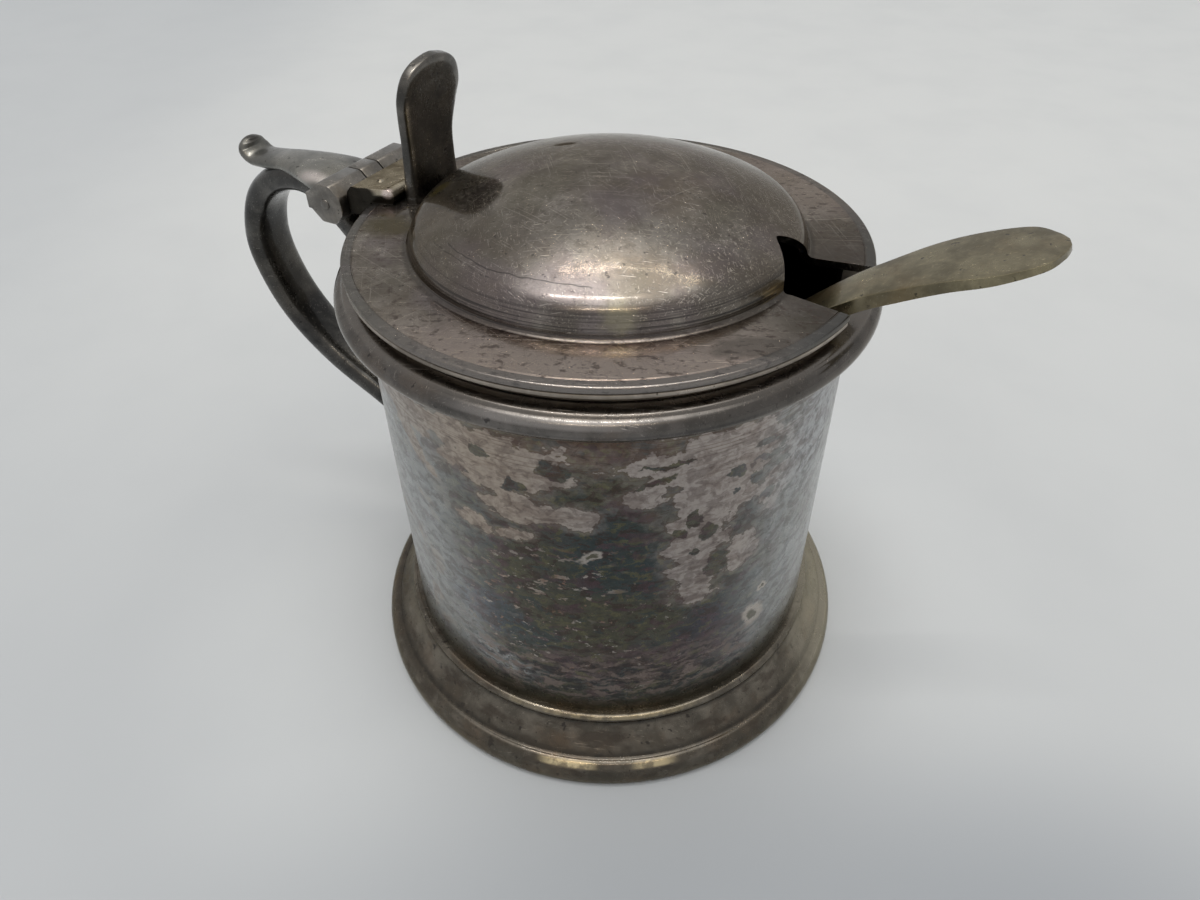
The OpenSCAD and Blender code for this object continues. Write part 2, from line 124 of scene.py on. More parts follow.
def settle(name, grid, body, slot, finish, node, sharp=38, ease=0, **faces):
    # welds seams and poles, turns the faces outwards and hands the piece to its body
    mesh = skin(name, grid, **faces)
    work = bmesh.new()
    work.from_mesh(mesh)
    bmesh.ops.remove_doubles(work, verts=work.verts, dist=2e-6)
    bmesh.ops.recalc_face_normals(work, faces=work.faces)
    work.to_mesh(mesh)
    work.free()
    piece = bpy.data.objects.new(name, mesh)
    scene.collection.objects.link(piece)
    mesh.materials.append(finish)
    mesh.shade_smooth()
    mesh.set_sharp_from_angle(angle=math.radians(sharp))
    if ease:
        soft = piece.modifiers.new("softEdges", "BEVEL")
        soft.width, soft.segments, soft.limit_method, soft.angle_limit = ease * mm, 2, "ANGLE", math.radians(sharp)
        soft.harden_normals = True
    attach(piece, body)
    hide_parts(node)
    print("piece", name, len(mesh.polygons), "faces")


def tone(r, g, b):
    # a colour as the eye reads it, 0 to 255, on the linear scale of the shaders
    c = np.array([r, g, b]) / 255
    return (*np.where(c <= 0.04045, c / 12.92, ((c + 0.055) / 1.055) ** 2.4).tolist(), 1.0)


class nodeBench:
    # short ways to add nodes to a tree
    def __init__(self, tree):
        self.tree = tree
        tree.nodes.clear()

    def put(self, kind, inputs=None, **settings):
        node = self.tree.nodes.new(kind)
        for key, value in settings.items():
            setattr(node, key, value)
        for key, value in (inputs or {}).items():
            self.plug(node.inputs[key], value)
        return node

    def plug(self, socket, value):
        # takes another node's socket, a plain value, a colour written 0 to 255 or the name of one in the look
        value = self.look[value] if isinstance(value, str) else value
        if isinstance(value, bpy.types.NodeSocket):
            self.tree.links.new(value, socket)
        elif socket.type == "RGBA" and len(value) == 3:
            socket.default_value = tone(*value)
        else:
            socket.default_value = value

    def math(self, operation, a, b=0):
        return self.put("ShaderNodeMath", {0: a, 1: b}, operation=operation).outputs[0]

    def chain(self, operation, first, *others):
        for other in others:
            first = self.math(operation, first, other)
        return first

    def times(self, *values):
        return self.chain("MULTIPLY", *values)

    def most(self, *values):
        return self.chain("MAXIMUM", *values)

    def plus(self, a, b):
        return self.math("ADD", a, b)

    def less(self, a, b):
        return self.math("SUBTRACT", a, b)

    def fade(self, value, low, high, start, end):
        # goes smoothly from start to end while the value goes from low to high
        ends = {0: value, 1: low, 2: high, 3: start, 4: end}
        return self.put("ShaderNodeMapRange", ends, interpolation_type="SMOOTHSTEP").outputs[0]

    def rise(self, value, low, high, share=1):
        return self.fade(value, low, high, 0, share)

    def fall(self, value, low, high, share=1):
        return self.fade(value, low, high, share, 0)

    def band(self, value, middle, inner, outer, share=1):
        # the whole share within inner of the middle, nothing past outer
        return self.fall(self.math("ABSOLUTE", self.less(value, middle)), inner, outer, share)

    def mix(self, share, a, b):
        return self.put("ShaderNodeMix", {0: share, 6: a, 7: b}, data_type="RGBA").outputs[2]


class finishBench(nodeBench):
    # one material: the dictionary its paints come from, the place of a point in millimetres and the colour so far
    def __init__(self, name, look):
        self.look = look
        self.material = bpy.data.materials.new(name)
        self.material.use_nodes = True
        super().__init__(self.material.node_tree)
        self.shader = self.put("ShaderNodeBsdfPrincipled")
        self.put("ShaderNodeOutputMaterial", {0: self.shader.outputs[0]})
        place = self.put("ShaderNodeTexCoord").outputs["Object"]
        self.here = self.put("ShaderNodeVectorMath", {0: place, "Scale": 1 / mm}, operation="SCALE").outputs[0]
        self.x, self.y, self.z = self.put("ShaderNodeSeparateXYZ", {0: self.here}).outputs
        self.r = self.size(self.pair(self.x, self.y))

    def pair(self, a, b):
        return self.put("ShaderNodeCombineXYZ", {0: a, 1: b}).outputs[0]

    def vector(self, operation, *values, out=0):
        return self.put("ShaderNodeVectorMath", dict(enumerate(values)), operation=operation).outputs[out]

    def size(self, vector):
        return self.vector("LENGTH", vector, out="Value")

    def along(self, direction):
        # how far out a point lies in one direction
        return self.vector("DOT_PRODUCT", self.here, direction, out="Value")

    def framed(self, vector, centre, size=(1, 1, 1), turn=0):
        # the vector as seen from a centre, turned, and counted in that size
        place = {"Vector": vector, "Location": centre, "Scale": size, "Rotation": (0, 0, math.radians(turn))}
        return self.put("ShaderNodeMapping", place, vector_type="TEXTURE").outputs[0]

    def seen(self, centre, size=(1, 1, 1), turn=0):
        return self.framed(self.here, centre, size, turn)

    def spot(self, vector, centre, size, turn=0):
        # distance from the middle of an oval spot, 1 at its edge
        return self.size(self.framed(vector, centre, size, turn))

    def nearest(self, vector, spots):
        # distance to the closest of several spots (across, up, half width, half height, turn)
        far = [self.spot(vector, (x, y, 0), (wide, high, 1), *turn) for x, y, wide, high, *turn in spots]
        return self.chain("MINIMUM", *far)

    def noise(self, grain, detail=3, rough=0.5, warp=0, part=0, on=None):
        ends = {"Vector": on or self.here, "Scale": 1 / grain, "Detail": detail, "Roughness": rough, "Distortion": warp}
        return self.put("ShaderNodeTexNoise", ends).outputs[part]

    def wobble(self, vector, grain, reach, detail=2, rough=0.5):
        # the vector pushed about by noise, at most half the reach each way
        push = self.vector("SUBTRACT", self.noise(grain, detail, rough, part=1), (0.5, 0.5, 0.5))
        return self.vector("ADD", vector, self.vector("MULTIPLY", push, reach))

    def scratches(self, turn, length, width, share):
        # noise drawn out into thin spindles along one direction, only its highest parts kept
        long = self.noise(1, 1, on=self.seen((turn * 0.7, turn * 0.3, 0), (length, width, width * 4), turn))
        return self.rise(long, 1 - share, 1.07 - share)

    def lay(self, *sharesAndPaint):
        # paint over the colour so far; several shares multiply
        *shares, paint = sharesAndPaint
        self.colour = self.mix(self.times(*shares), self.colour, paint)

    def daub(self, paint, centre, size, inner, outer, share, turn=0, ragged=None):
        # an oval spot of paint, whole within inner and gone at outer, its edge torn by a ragged (grain, reach)
        place = self.wobble(self.here, ragged[0], (ragged[1],) * 3) if ragged else self.here
        self.lay(self.fall(self.spot(place, centre, size, turn), inner, outer, share), paint)

    def close(self, rough, height, relief=0.05, metallic=1, coat=0, edge=None):
        # sends all to the shader; edge is the metal's colour where it is seen at a slant
        bump = self.put("ShaderNodeBump", {"Height": height, "Distance": relief * mm, "Strength": 1})
        ends = {"Base Color": self.colour, "Roughness": rough, "Metallic": metallic, "Coat Weight": coat,
                "Coat Roughness": coatRough, "Normal": bump.outputs[0]}
        if edge:
            ends["Specular Tint"] = edge
        for key, value in ends.items():
            self.plug(self.shader.inputs[key], value)
        return self.material


def silver(b):
    # shared silver: broad cloudy tarnish, a warm film, fine blotches, dark specks and hair scratches
    look = b.look
    cloud = b.noise(look["cloud"], 5, 0.6, 0.3)
    film = b.noise(look["cloud"] * 1.7, 4, 0.55, on=b.seen((31, 7, 5)))
    grain = b.noise(0.35, 2, 0.6)
    blotch = b.noise(1.3, 5, 0.7, on=b.seen((5, 3, 40)))
    b.colour = b.mix(b.rise(cloud, 0.34, 0.68), "dark", "tone")
    b.lay(b.rise(film, 0.46, 0.72, look.get("filmShare", 0.6)), "film")
    b.lay(b.rise(blotch, 0.46, 0.7, look.get("blotch", 0.4)), "dark")
    speck = b.rise(b.noise(look.get("speckSize", 0.9), 2, 0.6), 0.665, 0.71, 0.8)
    b.lay(speck, "speck")
    lines = b.most(*[b.scratches(*one) for one in look["scratches"]])
    b.lay(lines, look.get("scratchShare", 0.4), "scratch")
    smooth, dull = look["rough"]
    rough = b.plus(b.fade(cloud, 0.3, 0.7, dull, smooth), b.fade(blotch, 0.3, 0.7, -0.05, 0.05))
    height = b.less(b.less(b.times(grain, 0.12), b.times(lines, 0.25)), b.times(speck, 0.3))
    return rough, height


def placed(name, data, across, up, out, spot):
    # an object at a spot in millimetres with its axes along three directions
    turned = np.eye(4)
    turned[:3] = np.stack([across, up, out, spot * mm], -1)
    thing = bpy.data.objects.new(name, data)
    thing.matrix_world = Matrix(turned.tolist())
    scene.collection.objects.link(thing)
    return thing


# camera as in the photograph: lens and shift from the picture, looking down at the pot's middle
view = {"lens": 25.2535, "shift": (-0.00741, -0.04266), "distance": 113.951, "aimHeight": 37.166,
        "rise": 0.66419, "roll": -0.0049}
back = faceDir * math.cos(view["rise"]) + upDir * math.sin(view["rise"])
up = np.cross(back, rightDir)
camRight = rightDir * math.cos(view["roll"]) + up * math.sin(view["roll"])
camUp = -rightDir * math.sin(view["roll"]) + up * math.cos(view["roll"])
camData = bpy.data.cameras.new("photoCamera")
camData.sensor_fit, camData.sensor_width, camData.lens = "HORIZONTAL", 36, view["lens"]
camData.shift_x, camData.shift_y = view["shift"]
camData.clip_start, camData.clip_end = 0.005, 20
camSpot = upDir * view["aimHeight"] + back * view["distance"]
scene.camera = placed("photoCamera", camData, camRight, camUp, back, camSpot)
print("camera at", np.round(camSpot, 1).tolist())

# light: a pale even room and three rows of soft tubes overhead along the picture's width
room = {"low": 0.52, "high": 2.6, "lowEnd": 0.84, "highStart": 0.99, "tubeHeight": 700,
        "tubes": [{"ahead": 160, "middle": 75, "length": 450, "wide": 1.6, "watts": 0.18, "colour": (1, 0.84, 0.62)},
                  {"ahead": -30, "middle": -54, "length": 310, "wide": 4.5, "watts": 0.5, "colour": (1, 0.96, 0.9)},
                  {"ahead": -420, "middle": -15, "length": 420, "wide": 5, "watts": 0.35, "colour": (1, 0.86, 0.68)}]}
scene.view_settings.view_transform = "Standard"
world = bpy.data.worlds.new("paleRoom")
scene.world = world
world.use_nodes = True
air = nodeBench(world.node_tree)
upward = air.put("ShaderNodeSeparateXYZ", {0: air.put("ShaderNodeTexCoord").outputs["Generated"]}).outputs[2]
airColour = air.mix(air.rise(upward, room["lowEnd"], room["highStart"]),
                    (room["low"], room["low"] * 1.005, room["low"] * 1.01, 1),
                    (room["high"], room["high"], room["high"] * 0.99, 1))
airLight = air.put("ShaderNodeBackground", {0: airColour})
air.put("ShaderNodeOutputWorld", {0: airLight.outputs[0]})
for number, one in enumerate(room["tubes"]):
    tube = bpy.data.lights.new(f"ceilingTube{number}", "AREA")
    tube.shape, tube.size, tube.size_y = "RECTANGLE", one["length"] * mm, one["wide"] * mm
    tube.energy, tube.color = one["watts"], one["colour"]
    where = rightDir * one["middle"] - faceDir * one["ahead"] + upDir * room["tubeHeight"]
    placed(tube.name, tube, rightDir, -faceDir, upDir, where)

# table: one wide pale sheet under the foot
# near, far, ring and front are painted light and shade on the sheet
table = {"half": 2500, "low": -0.02, "shadeAt": (62, 26), "shadeSize": (85, 34, 60), "near": (184, 188, 192),
         "far": (212, 214, 214), "front": (138, 144, 152), "ring": (220, 223, 224), "fleck": (176, 180, 184)}
side = table["half"]
tableGrid = np.stack(np.meshgrid(np.linspace(-side, side, 9), np.linspace(-side, side, 9), indexing="ij"), -1)
tableGrid = np.concatenate([tableGrid, np.full(tableGrid.shape[:2] + (1,), table["low"])], -1)
tableMesh = skin("tableTop", tableGrid, colsClose=False, capEnds=False)


def tableFinish():
    # pale grey with painted light and shade: darker near and lighter far off, painted light to the right and round the
    # foot, and a painted soft shadow in front of the pot
    b = finishBench("paleTable", table)
    away = b.plus(b.times(b.x, -faceDir[0]), b.times(b.y, -faceDir[1]))
    # painted shade: the sheet darker towards the camera and lighter far off
    b.colour = b.mix(b.rise(away, -110, 180), "near", "far")
    across = b.along(rightDir)
    # painted light on the right of the sheet and painted shade on its left
    b.lay(b.rise(across, 20, 90, 0.4), "far")
    b.lay(b.rise(across, -90, -190, 0.6), "near")
    # painted light: the sheet lighter round the foot
    b.lay(b.rise(b.r, 78, 42, 0.5), "ring")
    ahead, aside = table["shadeAt"]
    # painted soft shadow on the sheet in front of the pot
    b.daub("front", faceDir * ahead + rightDir * aside, table["shadeSize"], 0.35, 1.25, 0.65, viewAngle)
    b.lay(b.rise(b.noise(30, 4, 0.55), 0.35, 0.75, 0.12), "fleck")
    return b.close(0.6, b.noise(4, 2), 0.02, 0)


tableMesh.materials.append(tableFinish())
tableTop = bpy.data.objects.new("tableTop", tableMesh)
scene.collection.objects.link(tableTop)
print("camera, light and table set")

# drum: a straight wall with eased edges, out of round by a few hundredths as hand-rolled sheet is
drum = {"edge": 0.25, "upSteps": 56, "wave": 0.03,
        "pale": (190, 179, 171), "cool": (178, 180, 182), "slate": (84, 86, 83), "olive": (92, 90, 72),
        "teal": (64, 77, 78), "blue": (74, 82, 95), "navy": (66, 66, 77), "brown": (100, 80, 66),
        "mauve": (102, 86, 84), "fleck": (196, 186, 176), "rust": (150, 112, 88), "darkOlive": (70, 67, 52),
        "soot": (52, 52, 49), "paleVeilAndSheen": (166, 168, 168), "umber": (72, 55, 48), "moss": (112, 108, 78),
        "plum": (96, 74, 80), "straw": (182, 166, 148),
        "paleSpots": [(-26, 51.5, 8, 2, -8), (-15, 51.6, 11, 2.2), (-12, 48.8, 7, 2.2, 3), (-10, 44.4, 3.6, 2),
                      (-6, 44.6, 3, 0.9, 12), (-3.5, 43.8, 2, 1.5), (-16, 39.8, 2.6, 0.9, -8),
                      (-10.6, 40.2, 2, 0.8, 8), (-25, 47.6, 5, 0.9, -48), (12, 50.2, 8, 4), (11.5, 45.6, 5.2, 4.5),
                      (9.6, 39.5, 3.2, 5), (9.8, 33.5, 2.9, 3.4, 10), (10.4, 30, 1.8, 1.6), (15.6, 34.6, 2.4, 2.2, 30),
                      (3.5, 47, 2.6, 1.5, 20), (5, 51, 4, 1.4), (21, 43, 3.2, 3.4), (26, 47, 5, 5)],
        "islands": [(-14, 50.7, 1.1, 0.7), (-10, 47.3, 1.5, 0.8), (-5.6, 50.4, 1.8, 1.1, -10), (6, 50.8, 3, 0.35, 4),
                    (4.8, 48.7, 2.2, 0.45, 22), (13.9, 47.8, 1.2, 0.9), (9, 42.4, 0.8, 1.2, -25),
                    (7.6, 40.7, 0.8, 0.6), (11, 40.3, 1.3, 1.3, 20), (13.8, 44.6, 0.5, 0.5), (15, 39.6, 0.6, 1.3, -30),
                    (16.4, 45.8, 1, 0.9), (12.5, 34, 1.1, 2, -10), (18.5, 47.9, 2.2, 0.5, -10),
                    (17.6, 50.3, 1.7, 0.6, -8), (16.2, 41.6, 0.8, 0.9), (18.8, 42.2, 1.1, 0.8),
                    (20.6, 46, 1.2, 0.6, 10), (22.8, 41, 1.2, 0.9), (9.5, 37.4, 0.7, 0.5)],
        "zones": [("teal", 1, 37, 6, 8, 0.8), ("olive", -3, 27, 11, 5, 0.9), ("blue", -15.5, 24.5, 6, 4, 0.9),
                  ("teal", -9.5, 22.5, 5, 2.6, 0.8), ("navy", 12, 21, 5, 6, 0.9), ("mauve", 5, 18, 14, 4, 0.7),
                  ("brown", -1, 53.2, 9, 2, 1), ("olive", -1, 48.8, 3.4, 2.4, 0.9),
                  ("paleVeilAndSheen", -15, 15.5, 6, 2.6, 0.9, -8, 0.45), ("paleVeilAndSheen", -19, 20, 4, 4, 0.5, 0, 0.2)],
        "rings": [(19.3, 20.6, 1.4, 1.9, 24), (20.6, 24.9, 0.8, 0.6, 30), (-2.4, 38, 1.1, 0.6, 20)]}
wallOut, wallIn = pot["drumRadius"], pot["drumRadius"] - pot["drumWall"]
low, top = pot["drumBottom"], pot["drumTop"]
rounded = softCorners([(wallIn, low), (wallOut, low), (wallOut, top), (wallIn, top)], [drum["edge"]] * 4)
climb = np.linspace(0.02, 0.98, drum["upSteps"])[:, None]
drumLine = np.vstack([rounded[:10], rounded[9] + (rounded[10] - rounded[9]) * climb, rounded[10:]])
drumGrid = spun(drumLine)
turn, z = np.arctan2(drumGrid[..., 1], drumGrid[..., 0]), drumGrid[..., 2]
swell = drum["wave"] * (np.sin(3 * turn + 0.6) + 0.6 * np.sin(7 * turn + z / 9) + 0.5 * np.sin(z / 5 + 2 * turn))
inside = np.clip((z - 10) / 6, 0, 1) * np.clip((54 - z) / 6, 0, 1)
drumGrid[..., :2] *= (1 + (swell * inside / wallOut))[..., None]


def drumFinish():
    # dark patchy tarnish over bare silver: crisp islands in a flat map of arc length and height, with painted sheen on
    # both sides and a painted shadow line under the rim
    b = finishBench("drumTarnish", drum)
    arc = b.times(b.math("ARCTAN2", b.along(rightDir), b.along(faceDir)), pot["drumRadius"])
    flat = b.pair(arc, b.z)
    torn = b.wobble(flat, 2.6, (3.2, 2.6, 0), 3, 0.6)
    torn = b.wobble(torn, 0.7, (0.9, 0.7, 0), 2, 0.6)
    cloud = b.noise(6, 5, 0.6, 0.4)
    fine = b.noise(0.9, 5, 0.7)
    grit = b.noise(0.3, 2, 0.6)
    b.colour = b.mix(b.rise(cloud, 0.38, 0.62), "slate", "olive")
    for paint, across, up, wide, high, share, *more in drum["zones"]:
        tilt, edge = more or (0, 0.6)
        b.lay(b.fall(b.spot(torn, (across, up, 0), (wide, high, 1), tilt), edge, 1.25, share), paint)
    # crisp small islands of brown and moss within the dark film
    isle = b.noise(1.5, 4, 0.6, 0.6, on=b.seen((7, 2, 3), (1.4, 1.4, 0.9)))
    b.lay(b.rise(isle, 0.54, 0.57, 0.7), "umber")
    b.lay(b.rise(isle, 0.43, 0.4, 0.7), "moss")
    patch = b.noise(2.2, 4, 0.6, 0.5, on=b.seen((17, 9, 6), (1.6, 1.6, 0.8)))
    b.lay(b.rise(patch, 0.56, 0.59, 0.6), "plum")
    b.lay(b.rise(patch, 0.41, 0.38, 0.6), "teal")
    b.lay(b.rise(fine, 0.4, 0.66, 0.45), "soot")
    b.lay(b.rise(grit, 0.52, 0.72, 0.35), "mauve")
    wide = b.math("ABSOLUTE", arc)
    # painted sheen: a pale veil over both sides of the drum, where the table is reflected
    b.lay(b.rise(wide, 11, 24, 0.9), b.rise(b.z, 8.5, 15), b.fade(cloud, 0.3, 0.7, 1, 0.6),
          b.fade(isle, 0.42, 0.6, 1, 0.55), b.fade(wide, 34, 48, 1, 0.3), "paleVeilAndSheen")
    # bare silver shows where the tarnish has worn off, with ragged edges and small holes
    rag = b.noise(1.9, 5, 0.58, on=b.seen((4, 8, 0), (1.5, 1.5, 1)))
    gap = b.plus(b.nearest(torn, drum["paleSpots"]), b.fade(rag, 0.25, 0.75, -0.56, 0.32))
    bare = b.fall(gap, 0.88, 0.99)
    # more bare silver towards the sides, partly real wear and partly painted sheen
    elsewhere = b.times(b.rise(b.noise(9, 5, 0.62, 0.5), 0.52, 0.58), b.rise(wide, 19, 26))
    bare = b.most(bare, b.times(elsewhere, 0.7))
    worn = b.fall(gap, 0.9, 1.9, 0.34)
    flecks = b.rise(b.noise(0.8, 4, 0.7, on=b.seen((3, 9, 1), (1.5, 1.5, 1))), 0.61, 0.66)
    chips = b.rise(b.noise(1.5, 4, 0.6, on=b.seen((8, 1, 6), (1.7, 1.7, 0.8))), 0.6, 0.63)
    flecks = b.most(flecks, b.times(chips, b.fall(b.spot(flat, (-9, 33, 0), (12, 8, 1)), 0.6, 1.1, 0.9)))
    flecks = b.times(flecks, b.fall(b.spot(flat, (-5, 24, 0), (17, 18, 1)), 0.6, 1.1, 0.75))
    island = b.fall(b.nearest(torn, drum["islands"]), 0.9, 1.1)
    bare = b.times(b.most(bare, worn), b.less(1, b.times(island, 0.9)))
    bareColour = "pale"
    # bare silver turns cool grey towards the sides as a painted reflection; straw on the left, mauve, brown and umber
    # mixed in
    for share, paint in ((b.times(b.rise(wide, 14, 26), b.fade(wide, 34, 48, 1, 0.2)), "cool"),
                         (b.rise(arc, 2, -14, 0.7), "straw"), (b.rise(fine, 0.4, 0.75, 0.45), "mauve"),
                         (b.rise(patch, 0.5, 0.62, 0.35), "brown"), (b.rise(isle, 0.5, 0.58, 0.35), "umber")):
        bareColour = b.mix(share, bareColour, paint)
    b.lay(bare, 0.92, bareColour)
    b.lay(b.band(gap, 1, 0.02, 0.1, 0.4), b.rise(wide, 20, 16), "brown")
    b.lay(flecks, b.mix(b.rise(cloud, 0.4, 0.6), "rust", "fleck"))
    halo = b.nearest(torn, drum["rings"])
    b.lay(b.fall(halo, 0.9, 1.5, 0.85), "fleck")
    b.lay(b.fall(halo, 0.4, 0.7, 0.9), "olive")
    # streaks along the lower front and a fine upright dapple on the right
    streak = b.noise(1.2, 4, 0.6, on=b.framed(torn, (3, 1, 0), (2.4, 0.8, 1)))
    lowBand = b.times(b.rise(b.z, 24, 15), b.rise(wide, 24, 15))
    b.lay(b.rise(streak, 0.52, 0.56, 0.75), lowBand, (138, 122, 114))
    b.lay(b.rise(streak, 0.46, 0.41, 0.75), lowBand, (40, 40, 43))
    dapple = b.noise(1.4, 5, 0.7, on=b.framed(torn, (1, 4, 0), (0.8, 1.5, 1)))
    rightBand = b.times(b.rise(arc, 15, 21), b.rise(b.z, 24, 36))
    b.lay(b.rise(dapple, 0.5, 0.62, 0.45), rightBand, "slate")
    # hair lines round the drum, thickest just under the rim
    hair = b.noise(1, 2, 0.6, on=b.seen((0, 0, 0), (14, 14, 0.22)))
    b.lay(b.rise(hair, 0.52, 0.66), b.fade(b.z, 46, 56, 0.1, 0.7), "brown")
    # darker towards the foot
    b.lay(b.fall(b.z, 9, 13.5, 0.85), "darkOlive")
    # painted shadow: a thin dark line on the drum just under the rim
    b.lay(b.band(b.z, 55.75, 0.08, 0.22, 0.65), "darkOlive")
    rough = b.plus(b.fade(bare, 0, 1, 0.3, 0.42), b.fade(fine, 0.3, 0.7, -0.05, 0.05))
    height = b.less(b.times(fine, 0.2), b.times(hair, 0.2))
    return b.close(rough, height, 0.04, coat=0.3)


settle("drumWall", drumGrid, "pot", "drum_silver", drumFinish(), "drum_wall_shell", **closedRing)

# foot: a small bead under the drum, a hollow slope and a heavy bead on the table
foot = {"inner": 31.4, "beadX": 32.9, "beadZ": 1.5, "beadWidth": 1.6, "beadSquash": 1.4375, "beadStart": -40.7,
        "ridgeX": 29.5, "ridgeZ": 8.1, "ridgeRadius": 0.7, "lip": 0.4,
        "slope": [(32.75, 3.9), (32.5, 4.05), (31.1, 5.45), (30.1, 6.9), (29.85, 7.35)],
        "back": [(29, 8.8), (29, 3), (28.1, 3), (28.1, 2), (29.6, 1.6)],
        "tone": (122, 114, 102), "dark": (82, 76, 66), "film": (108, 88, 68), "speck": (46, 40, 35),
        "scratch": (176, 166, 150), "cloud": 4, "rough": (0.18, 0.32), "filmShare": 0.7, "blotch": 0.45,
        "scratches": [(20, 6, 0.1, 0.31), (110, 6, 0.1, 0.3)]}
footLine = np.vstack([
    [(foot["inner"], 0), (foot["inner"] + foot["lip"], 0)],
    arcPoints(foot["beadX"], foot["beadZ"], foot["beadWidth"], foot["beadStart"], 90, 30, foot["beadSquash"]),
    smoothLine(foot["slope"], 8),
    arcPoints(foot["ridgeX"], foot["ridgeZ"], foot["ridgeRadius"], -58, 90, 18), foot["back"]])


def footFinish():
    # warm stained silver, dark in the hollows, with painted sheen on the right and painted highlights along the two
    # beads
    b = finishBench("footSilver", foot)
    rough, height = silver(b)
    groove = b.most(b.band(b.z, 4, 0, 0.55, 0.9), b.band(b.z, 7.25, 0, 0.5, 0.8))
    b.lay(groove, b.fade(b.noise(2, 3), 0.3, 0.6, 0.5, 1), (40, 36, 30))
    spots = b.noise(2.4, 3, 0.55, on=b.seen((0, 0, 0), (1.8, 1.8, 0.7)))
    b.lay(b.rise(spots, 0.5, 0.64, 0.7), (66, 56, 46))
    pits = b.rise(b.noise(1.4, 2, 0.5, on=b.seen((6, 3, 0))), 0.66, 0.7, 0.8)
    b.lay(pits, "speck")
    side = b.along(rightDir)
    # painted sheen: the foot lighter on its right side
    b.lay(b.rise(side, 22, 33, 0.6), (190, 182, 160))
    # painted highlights along the ridge and at two places on the bead, over a front that is darker low down
    front = b.times(b.rise(b.y, 0, -8), b.fade(b.noise(1.6, 3, 0.6), 0.4, 0.55, 0.35, 1))
    ridge = b.times(b.band(b.z, 8.55, 0.1, 0.3), b.rise(side, -16, -10), b.rise(side, 14, 6))
    bead = b.most(b.band(side, -5.6, 1.6, 4.6), b.band(side, 5.6, 1, 3.6, 0.8))
    bead = b.times(bead, b.band(b.z, 3.4, 0.1, 0.4))
    b.lay(front, b.rise(b.z, 5.2, 4.4, 0.45), (72, 65, 54))
    b.lay(front, b.most(b.times(ridge, 0.3), b.times(bead, 0.95)), (236, 216, 172))
    return b.close(rough, height, coat=0.6, edge=(178, 170, 152))


settle("footMoulding", spun(footLine), "pot", "foot_silver", footFinish(), "foot_ring", 45, **closedRing)

# base plate: a flat disc soldered inside the drum, turned on a lathe
base = {"top": 5, "bottom": 4, "radius": 28.1, "edge": 0.2,
        "tone": (150, 146, 138), "dark": (112, 108, 100), "film": (134, 120, 100), "speck": (70, 66, 60),
        "scratch": (180, 176, 168), "cloud": 8, "rough": (0.3, 0.45), "scratches": [(35, 8, 0.14, 0.32)]}
edge, flatEnd = base["edge"], base["radius"] - base["edge"]
reach = np.linspace(0, flatEnd, 40)
basePlate = np.vstack([
    np.stack([reach, 0 * reach + base["top"]], -1), arcPoints(flatEnd, base["top"] - edge, edge, 90, 0, 4),
    arcPoints(flatEnd, base["bottom"] + edge, edge, 0, -90, 4),
    np.stack([reach[::-1], 0 * reach + base["bottom"]], -1)])


def turnedFinish(name, look):
    # plain inner metal with fine turning lines round its middle
    b = finishBench(name, look)
    rough, height = silver(b)
    lines = b.noise(0.25, 3, 0.6, on=b.pair(b.r, b.z))
    b.lay(b.rise(lines, 0.45, 0.7, 0.35), "dark")
    return b.close(rough, b.plus(height, b.times(lines, 0.3)), 0.04)


basePaint = turnedFinish("turnedSilver", base)
settle("basePlate", spun(basePlate), "pot", "inner_silver", basePaint, "base_plate", capEnds=False)

# rim: a half-round moulding below the drum's edge with a hollow above it
rim = {"roundX": 30.65, "roundZ": 57.75, "roundRadius": 1.35, "low": 56.4, "ledge": 30.9875,
       "tone": (118, 112, 107), "dark": (78, 74, 70), "film": (110, 95, 82), "speck": (40, 36, 34),
       "scratch": (190, 182, 174), "cloud": 4, "rough": (0.18, 0.32), "filmShare": 0.5,
       "scratches": [(20, 7, 0.1, 0.31), (100, 7, 0.1, 0.31)]}
rimTop, ledge = pot["drumTop"], rim["ledge"]
rimLine = np.vstack([
    [(wallOut, rim["low"]), (wallOut + 0.3, rim["low"]), (wallOut + 1.3, rim["low"])],
    arcPoints(rim["roundX"], rim["roundZ"], rim["roundRadius"], -85, 62, 34),
    [(ledge + 0.12, rimTop - 0.4), (ledge, rimTop - 0.3), (ledge - 0.1, rimTop - 0.15), (ledge - 0.3, rimTop),
     (wallOut, rimTop)]])


def rimFinish():
    # grey silver with specks, darker on the right; painted shade above and below the round, a painted highlight on its
    # front left and painted light on its top
    b = finishBench("rimSilver", rim)
    rough, height = silver(b)
    # painted shade under the round and, faintly, on the top under the lid's edge
    recessShade = b.most(b.fall(b.z, 56.5, 57, 0.8), b.rise(b.z, 58.95, 59.2, 0.15))
    side = b.along(rightDir)
    b.lay(b.rise(side, -2, 12, 0.6), (66, 62, 57))
    # painted highlight along the round's crest at the front left
    b.lay(b.rise(side, -18, -11), b.rise(side, 6, -3, 0.3), b.band(b.z, 58.6, 0.1, 0.45), (206, 200, 196))
    # painted light: the top in the gap under the lid made paler
    b.lay(b.rise(b.z, 58.9, 59.2, 0.35), (156, 147, 138))
    b.lay(recessShade, (38, 35, 31))
    return b.close(rough, height, coat=0.7, edge=(200, 194, 186))


settle("rimBand", spun(rimLine), "pot", "rim_silver", rimFinish(), "rim_moulding", 45, **closedRing)
print("drum, foot and rim made")

